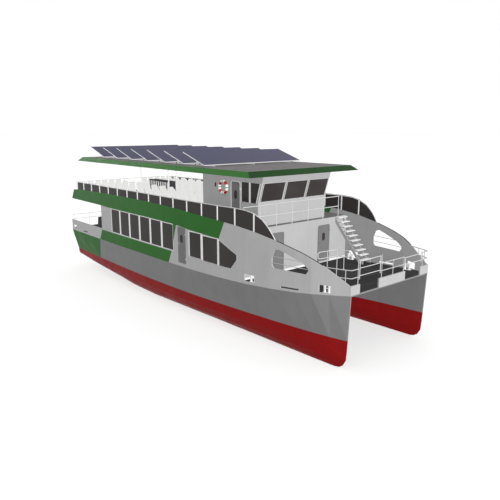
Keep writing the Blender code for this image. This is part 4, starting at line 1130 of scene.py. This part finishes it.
class FERRY_OT_guard(bpy.types.Operator):
    """Clamps that hold the guard's glass on both faces, post by post"""

    bl_idname = "ferry.guard"
    bl_label = "Guard clamps"

    def execute(self, context):
        half = sizes().clamp_wide / 2
        for name, side in SIDES:
            form = Form("trim", "rubber", "steel")
            glass = ["glass_guard_" + name]
            for x in GUARD_POSTS:
                place_x = max(x, -11.16 + half)
                outer = side_surface(name, side, place_x, 5.12)
                foot = cast(upper_side(name), (place_x, outer - side * 0.02, 7.0), (0, 0, -1)).z
                head = cast(glass, (place_x, outer - side * 0.040, 7.5), (0, 0, -1)).z
                inner_foot = max(foot, UPPER_DECK)
                out = outer - side * 0.001
                spots = ((out, outer - side * 0.0345, foot + 0.001), (outer - side * 0.0455, outer - side * 0.078, inner_foot + 0.001))
                for first, second, low in spots:
                    y0, y1 = sorted((first, second))
                    form.use("trim").block((place_x - half, y0, low), (place_x + half, y1, head + 0.006), 0.006)
                for z in (foot + 0.10, head - 0.10):
                    form.use("steel").turned(
                        [(0.011, 0.0), (0.011, 0.004), (0.007, 0.006)], (place_x, out, z), (0, side, 0), 12
                    )
            form.piece("guard_clamps_" + name)
        return {"FINISHED"}


def chair_shape(wide, tall=1.10):
    """One moulded shell: points and faces, its middle line at y 0, its seat's back edge at x 0."""
    line = [
        (0.425, 0.385), (0.428, 0.418), (0.405, 0.441), (0.34, 0.448), (0.24, 0.438), (0.14, 0.428), (0.07, 0.430),
        (0.028, 0.452), (0.008, 0.50), (-0.008, 0.58), (-0.030, 0.70), (-0.055, 0.82), (-0.080, 0.94), (-0.098, 1.02),
        (-0.110, 1.068), (-0.116, 1.088),
    ]
    half = wide / 2
    widths = [0.90, 0.96, 1.0, 1.0, 1.0, 1.0, 0.99, 0.97, 0.95, 0.93, 0.92, 0.92, 0.92, 0.88, 0.76, 0.60]
    spots = [-1.0, -0.86, -0.55, -0.2, 0.2, 0.55, 0.86, 1.0]
    count, across = len(line), len(spots)
    outer = []
    for i, (x, z) in enumerate(line):
        before, after = line[max(i - 1, 0)], line[min(i + 1, count - 1)]
        way = Vector((after[0] - before[0], after[1] - before[1])).normalized()
        up = Vector((way.y, -way.x))
        if up.y < 0 and x > 0.1:
            up = -up
        if up.x < 0 and x <= 0.1:
            up = -up
        for t in spots:
            dish = 0.020 * (1 - t * t) if 2 < i < count - 2 else 0.006 * (1 - t * t)
            edge = 0.010 * max(0.0, abs(t) - 0.8) / 0.2
            outer.append((Vector((x - up.x * (dish + edge), half * widths[i] * t, z - up.y * (dish + edge))), Vector((up.x, 0, up.y))))
    points = [p for p, _ in outer] + [p - n * 0.011 for p, n in outer]
    size = len(outer)
    faces = []
    for i in range(count - 1):
        for j in range(across - 1):
            a, b = i * across + j, (i + 1) * across + j
            faces.append((a, a + 1, b + 1, b))
            faces.append((a + size, b + size, b + 1 + size, a + 1 + size))
    ring = [j for j in range(across)] + [i * across + across - 1 for i in range(1, count)]
    ring += [(count - 1) * across + j for j in range(across - 2, -1, -1)] + [i * across for i in range(count - 2, 0, -1)]
    for k in range(len(ring)):
        a, b = ring[k], ring[(k + 1) % len(ring)]
        faces.append((b, a, a + size, b + size))
    return points, faces


def seat_row(form, points, faces, x, side, span_y, legs, floor, facing, count):
    """A row of moulded chairs on a beam with two legs."""
    low, high = span_y
    pitch = (high - low) / count
    for k in range(count):
        y = side * (low + pitch * (k + 0.5))
        form.use("seat").stamp(points, faces, lambda p, y=y: (x + facing * p.x, y + p.y, floor + p.z))
    near, far = sorted((x + facing * 0.13, x + facing * 0.19))
    ends = sorted((side * (low + 0.06), side * (high - 0.06)))
    form.use("rail").block((near, ends[0], floor + 0.335), (far, ends[1], floor + 0.395), 0.006)
    for k in range(count):
        for shift in (-0.13, 0.13):
            y = side * (low + pitch * (k + 0.5)) + shift
            a, b = sorted((x + facing * 0.03, x + facing * 0.33))
            form.block((a, y - 0.015, floor + 0.394), (b, y + 0.015, floor + 0.412), 0.003)
    for y in legs:
        y *= side
        a, b = sorted((x + facing * 0.10, x + facing * 0.22))
        form.block((a, y - 0.018, floor + 0.012), (b, y + 0.018, floor + 0.34), 0.006)
        a, b = sorted((x + facing * 0.03, x + facing * 0.33))
        form.block((a, y - 0.05, floor + 0.011), (b, y + 0.05, floor + 0.021), 0.003)
        for at in (0.055, 0.305):
            for shift in (-0.034, 0.034):
                form.use("steel").turned(
                    [(0.008, 0.020), (0.008, 0.026), (0.005, 0.028)], (x + facing * at, y + shift, floor), (0, 0, 1), 6
                )
                form.use("rail")


class FERRY_OT_seats(bpy.types.Operator):
    """Moulded chairs in rows on the upper deck"""

    bl_idname = "ferry.seats"
    bl_label = "Seats"

    def execute(self, context):
        shape = chair_shape(sizes().chair_wide)
        for name, side in SIDES:
            form = Form("seat", "rail", "steel")
            for x in SEAT_ROWS:
                seat_row(form, *shape, x, side, (0.80, 3.44), SEAT_LEGS, UPPER_DECK, 1, sizes().chairs)
            for y in SEAT_LEGS:
                low, high = sorted((side * y - 0.03, side * y + 0.03))
                form.use("rail").block((SEAT_ROWS[0], low, UPPER_DECK), (SEAT_ROWS[-1] + 0.4, high, UPPER_DECK + 0.012), 0.003)
            form.piece("deck_chairs_" + name, replaces=["upper_seats_" + name])
        return {"FINISHED"}


def solar_place(row):
    """From a row's own place, along the slope, across and above the glass, to the vessel."""
    tilt = math.atan2(SOLAR_RISE, SOLAR_RUN)
    turn = Matrix.Rotation(math.pi, 4, "Z") @ Matrix.Rotation(-tilt, 4, "Y")
    return Matrix.Translation((SOLAR_FIRST - SOLAR_PITCH * row, 0, SOLAR_LOW)) @ turn


def solar_row(row):
    slope = math.hypot(SOLAR_RUN, SOLAR_RISE)
    place = solar_place(row)
    form = Form("aluminium", "black_frame", "cell", "rail", "steel")

    def on_slope(u, v, w):
        return place @ Vector((u, v, w))

    count = sizes().modules
    pitch = 2 * (SOLAR_HALF - 0.012) / count
    for k in range(count):
        y0 = -SOLAR_HALF + 0.012 + pitch * k + 0.0015
        y1 = y0 + pitch - 0.003
        outer = [(0.022, y0), (slope, y0), (slope, y1), (0.022, y1)]
        form.use("black_frame").slab(outer, SOLAR_DEEP - 0.002, lambda u, v, w: on_slope(u, v, w - SOLAR_DEEP), shrunk(outer, 0.018), 0.002)
        form.use("cell").slab(shrunk(outer, 0.0185), 0.010, lambda u, v, w: on_slope(u, v, w - 0.0135))
    trim = [(0.0, -SOLAR_DEEP), (0.020, -SOLAR_DEEP), (0.020, 0.0), (0.003, 0.0), (0.0, -0.003)]
    form.use("aluminium").rings([[on_slope(u, y, w) for u, w in trim] for y in (-SOLAR_HALF, SOLAR_HALF)])
    for y in (-SOLAR_HALF, SOLAR_HALF - 0.011):
        form.rings([[on_slope(u, y + v, w) for v, w in ((0, -SOLAR_DEEP), (0.011, -SOLAR_DEEP), (0.011, 0.0), (0, 0.0))] for u in (0.022, slope)])
    low_x = SOLAR_FIRST - SOLAR_PITCH * row
    base = ROOF_TOP + 0.0003
    rise = SOLAR_RISE / SOLAR_RUN
    for y in TRUSSES:
        near, far = y - 0.02, y + 0.02
        form.use("rail").block((low_x - 1.70, near, base), (low_x - 0.10, far, base + 0.05), 0.004)
        leg_top = SOLAR_LOW + 1.675 * rise - SOLAR_DEEP
        form.block((low_x - 1.70, near, base + 0.03), (low_x - 1.65, far, leg_top), 0.004)
        slant = place @ Matrix.Translation((0, y, 0))
        form.block((0.10, -0.02, -SOLAR_DEEP - 0.055), (1.77, 0.02, -SOLAR_DEEP - 0.0002), 0.004, slant)
        brace = [(low_x - 1.60, y, base + 0.03), (low_x - 1.02, y, SOLAR_LOW + 1.02 * rise - SOLAR_DEEP - 0.03)]
        form.bar(brace, 0.014, 10)
        for x in (low_x - 1.58, low_x - 0.24):
            form.use("steel").turned([(0.011, 0.0), (0.011, 0.008), (0.007, 0.011)], (x, y, base + 0.05), (0, 0, 1), 6)
    return form.piece(f"panel_row_{row + 1}", replaces=[f"solar_row_{row + 1}"])


class FERRY_OT_panels(bpy.types.Operator):
    """Rows of framed solar panels with their cells, on braced trusses"""

    bl_idname = "ferry.panels"
    bl_label = "Solar panels"

    def execute(self, context):
        for row in range(SOLAR_ROWS):
            solar_row(row)
        return {"FINISHED"}


def bitts(name, side_name, side):
    first, last, y = BITTS[name]
    y *= side
    form = Form("trim", "steel")
    node = name + "_" + side_name
    low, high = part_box(node)

    def deck(x):
        return cast(["main_deck"], (x, y, 5.0), (0, 0, -1)).z + 0.0005

    slope = (deck(last) - deck(first)) / (last - first)
    plate = rounded_box(first - 0.095, last + 0.095, y - 0.068, y + 0.068, (0.02,) * 4, 4)
    form.use("trim").slab(plate, 0.013, lambda u, v, w: Vector((u, v, deck(first) + slope * (u - first) + w)), None, 0.003)
    for x in (first, last):
        base = deck(x)
        top = 0.310
        form.turned(
            [
                (0.072, 0.010), (0.062, 0.018), (0.056, 0.035), (0.053, 0.08), (0.053, 0.20), (0.056, 0.255),
                (0.066, 0.272), (0.068, 0.284), (0.066, top - 0.006), (0.055, top - 0.001), (0.0001, top),
            ],
            (x, y, base), (0, 0, 1), 28,
        )
    z = deck(first) + 0.18
    form.bar([(first - 0.02, y, z), (last + 0.02, y, deck(last) + 0.18)], 0.022, 16)
    for x in (first - 0.078, (first + last) / 2, last + 0.078):
        for shift in (-0.05, 0.05):
            spot = (x, y + shift, deck(x) + 0.012)
            form.use("steel").turned([(0.0095, 0.0), (0.0095, 0.007), (0.006, 0.010)], spot, (0, 0, 1), 6)
    return form.piece(node + "_cast", replaces=[node])


class FERRY_OT_deck_gear(bpy.types.Operator):
    """Mooring bitts, the locker of the upper deck and the treads of the stairs"""

    bl_idname = "ferry.deck_gear"
    bl_label = "Deck gear"

    def execute(self, context):
        for name, side in SIDES:
            for kind in BITTS:
                bitts(kind, name, side)
        coat("locker", "deck_locker")
        low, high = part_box("deck_locker")
        form = Form("trim", "locker", "steel")
        count = 9
        for k in range(count):
            x = low.x + 0.10 + (high.x - low.x - 0.20) * k / (count - 1)
            for y, way in ((low.y, -1), (high.y, 1)):
                a, b = sorted((y - way * 0.002, y + way * 0.022))
                form.use("trim").block((x - 0.05, a, low.z + 0.08), (x + 0.05, b, high.z - 0.06), 0.005)
        form.use("locker").block((low.x + 0.004, low.y + 0.004, high.z - 0.03), (high.x - 0.004, high.y - 0.004, high.z - 0.001), 0.006)
        for x in (low.x + 0.5, (low.x + high.x) / 2, high.x - 0.5):
            for way in (-1, 1):
                y = low.y if way < 0 else high.y
                hasp = [(x - 0.06, y + way * 0.024, high.z - 0.14), (x + 0.06, y + way * 0.024, high.z - 0.14)]
                form.use("steel").bar(hasp, 0.009, 10)
        form.piece("locker_battens")
        form = Form("trim")
        for k in range(STAIR_STEPS):
            x = STAIR_TOP[0] + STAIR_RUN * k + STAIR_TREAD / 2
            z = cast(["stairs"], (x, 3.22, 5.6), (0, 0, -1)).z
            front = x + STAIR_TREAD / 2
            form.block((front - 0.034, 2.864, z - 0.03), (front + 0.003, 3.576, z + 0.003), 0.0025)
            for j in range(4):
                back = front - 0.062 - 0.040 * j
                form.block((back, 2.90, z - 0.001), (back + 0.014, 3.54, z + 0.002), 0.001)
        form.piece("stair_nosings")
        return {"FINISHED"}


class FERRY_OT_lifebuoys(bpy.types.Operator):
    """Ring buoys in brackets on the wheelhouse, with the small side lights"""

    bl_idname = "ferry.lifebuoys"
    bl_label = "Lifebuoys"

    def execute(self, context):
        for name, side in SIDES:
            form = Form("buoy", "trim", "steel", "rubber", "glass")
            low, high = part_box("lifebuoy_" + name)
            centre = (low + high) / 2
            rings = []
            for k in range(64):
                a = 2 * math.pi * k / 64
                out = Vector((math.cos(a), 0, math.sin(a)))
                ring = []
                for m in range(20):
                    b = 2 * math.pi * m / 20
                    ring.append(centre + out * (0.30 + 0.0735 * math.cos(b)) + Vector((0, side, 0)) * 0.0715 * math.sin(b))
                rings.append(ring)
            form.use("buoy").rings(rings, closed=True)
            for k in range(4):
                a = math.radians(90 * k)
                out, way = Vector((math.cos(a), 0, math.sin(a))), Vector((-math.sin(a), 0, math.cos(a)))
                for shift in (-0.028, 0.028):
                    rings = []
                    for m in range(20):
                        b = 2 * math.pi * m / 20
                        centre_line = centre + out * 0.30 + way * shift
                        rings.append((centre_line, out, b))
                band = []
                for m in range(20):
                    b = 2 * math.pi * m / 20
                    spot = out * (0.30 + 0.0755 * math.cos(b)) + Vector((0, side, 0)) * 0.0735 * math.sin(b)
                    band.append(centre + spot)
                deep = [centre + out * 0.30 + (p - centre - out * 0.30) * 0.93 for p in band]
                form.use("rubber").rings(
                    [[p - way * 0.022 for p in deep], [p - way * 0.020 for p in band], [p + way * 0.020 for p in band], [p + way * 0.022 for p in deep]],
                    closed=True,
                )
            for shift in (-0.16, 0.16):
                x = centre.x + shift
                wall = side * 2.40
                hook = [
                    (x, wall + side * 0.002, 6.62), (x, wall + side * 0.05, 6.612), (x, wall + side * 0.155, 6.612),
                    (x, wall + side * 0.160, 6.66),
                ]
                form.use("steel").bar(hook, 0.008, 8)
            form.piece("lifebuoy_ring_" + name, replaces=["lifebuoy_" + name])
            form = Form("rubber", "glass", "steel")
            oval = rounded_box(3.06 - 0.05, 3.06 + 0.05, 7.07 - 0.11, 7.07 + 0.11, (0.049,) * 4, 6)

            def on_wall(u, v, w, side=side):
                return Vector((u, side * (2.40 + w), v))

            form.use("rubber").slab(oval, 0.030, on_wall, None, 0.008)
            form.use("glass").slab(shrunk(oval, 0.016), 0.036, on_wall, None, 0.006)
            form.piece("side_light_" + name)
        return {"FINISHED"}


class FERRY_OT_stage(bpy.types.Operator):
    """The pale floor, the soft light and the camera at the photograph's angle"""

    bl_idname = "ferry.stage"
    bl_label = "Stage"

    def execute(self, context):
        scene = context.scene
        mesh = bpy.data.meshes.new("studio_floor")
        reach = 600.0
        mesh.from_pydata([(-reach, -reach, 0), (reach, -reach, 0), (reach, reach, 0), (-reach, reach, 0)], [], [(0, 1, 2, 3)])
        mesh.materials.append(finish("floor"))
        floor = bpy.data.objects.new("studio_floor", mesh)
        scene.collection.objects.link(floor)
        world = bpy.data.worlds.new("studio")
        world.use_nodes = True
        world.node_tree.nodes["Background"].inputs["Color"].default_value = (1, 1, 1, 1)
        world.node_tree.nodes["Background"].inputs["Strength"].default_value = 1.0
        scene.world = world
        for name, energy, spot in LAMPS:
            sun = bpy.data.lights.new(name, "SUN")
            sun.energy = energy
            sun.angle = math.radians(30)
            sun.use_shadow = False
            lamp = bpy.data.objects.new(name, sun)
            scene.collection.objects.link(lamp)
            lamp.rotation_mode = "QUATERNION"
            lamp.rotation_quaternion = Vector(spot).to_track_quat("Z", "Y")
        lens = bpy.data.cameras.new("camera")
        lens.sensor_width = 36.0
        lens.lens = 39.74
        lens.clip_end = 2000.0
        camera = bpy.data.objects.new("camera", lens)
        scene.collection.objects.link(camera)
        yaw, pitch = math.radians(139.006), math.radians(-12.48)
        ahead = Vector((math.cos(yaw) * math.cos(pitch), math.sin(yaw) * math.cos(pitch), math.sin(pitch)))
        right = ahead.cross(Vector((0, 0, 1))).normalized()
        above = right.cross(ahead)
        turn = Matrix((right, above, -ahead)).transposed()
        camera.matrix_world = Matrix.Translation((25.99, -19.96, 9.95)) @ turn.to_4x4()
        scene.camera = camera
        scene.view_settings.view_transform = "Standard"
        return {"FINISHED"}


class FERRY_PT_sidebar(bpy.types.Panel):
    """Lists the pieces with their sizes and colours"""

    bl_idname = "FERRY_PT_sidebar"
    bl_label = "Ferry"
    bl_space_type = "VIEW_3D"
    bl_region_type = "UI"
    bl_category = "Ferry"

    def draw(self, context):
        for group in (context.scene.ferry_sizes, context.scene.ferry_colours):
            column = self.layout.column()
            for key in group.__annotations__:
                column.prop(group, key)
        for operator in OPERATORS:
            self.layout.operator(operator.bl_idname)


OPERATORS = (
    FERRY_OT_stage,
    FERRY_OT_hulls,
    FERRY_OT_decks,
    FERRY_OT_walls,
    FERRY_OT_ports,
    FERRY_OT_doors,
    FERRY_OT_rails,
    FERRY_OT_guard,
    FERRY_OT_seats,
    FERRY_OT_panels,
    FERRY_OT_deck_gear,
    FERRY_OT_lifebuoys,
)
CLASSES = (FerryColours, FerrySizes, *OPERATORS, FERRY_PT_sidebar)


def register():
    for item in CLASSES:
        bpy.utils.register_class(item)
    bpy.types.Scene.ferry_colours = PointerProperty(type=FerryColours)
    bpy.types.Scene.ferry_sizes = PointerProperty(type=FerrySizes)


def unregister():
    del bpy.types.Scene.ferry_sizes
    del bpy.types.Scene.ferry_colours
    for item in reversed(CLASSES):
        bpy.utils.unregister_class(item)


def main():
    register()
    for operator in OPERATORS:
        group, name = operator.bl_idname.split(".")
        getattr(getattr(bpy.ops, group), name)()


if __name__ == "__main__":
    main()
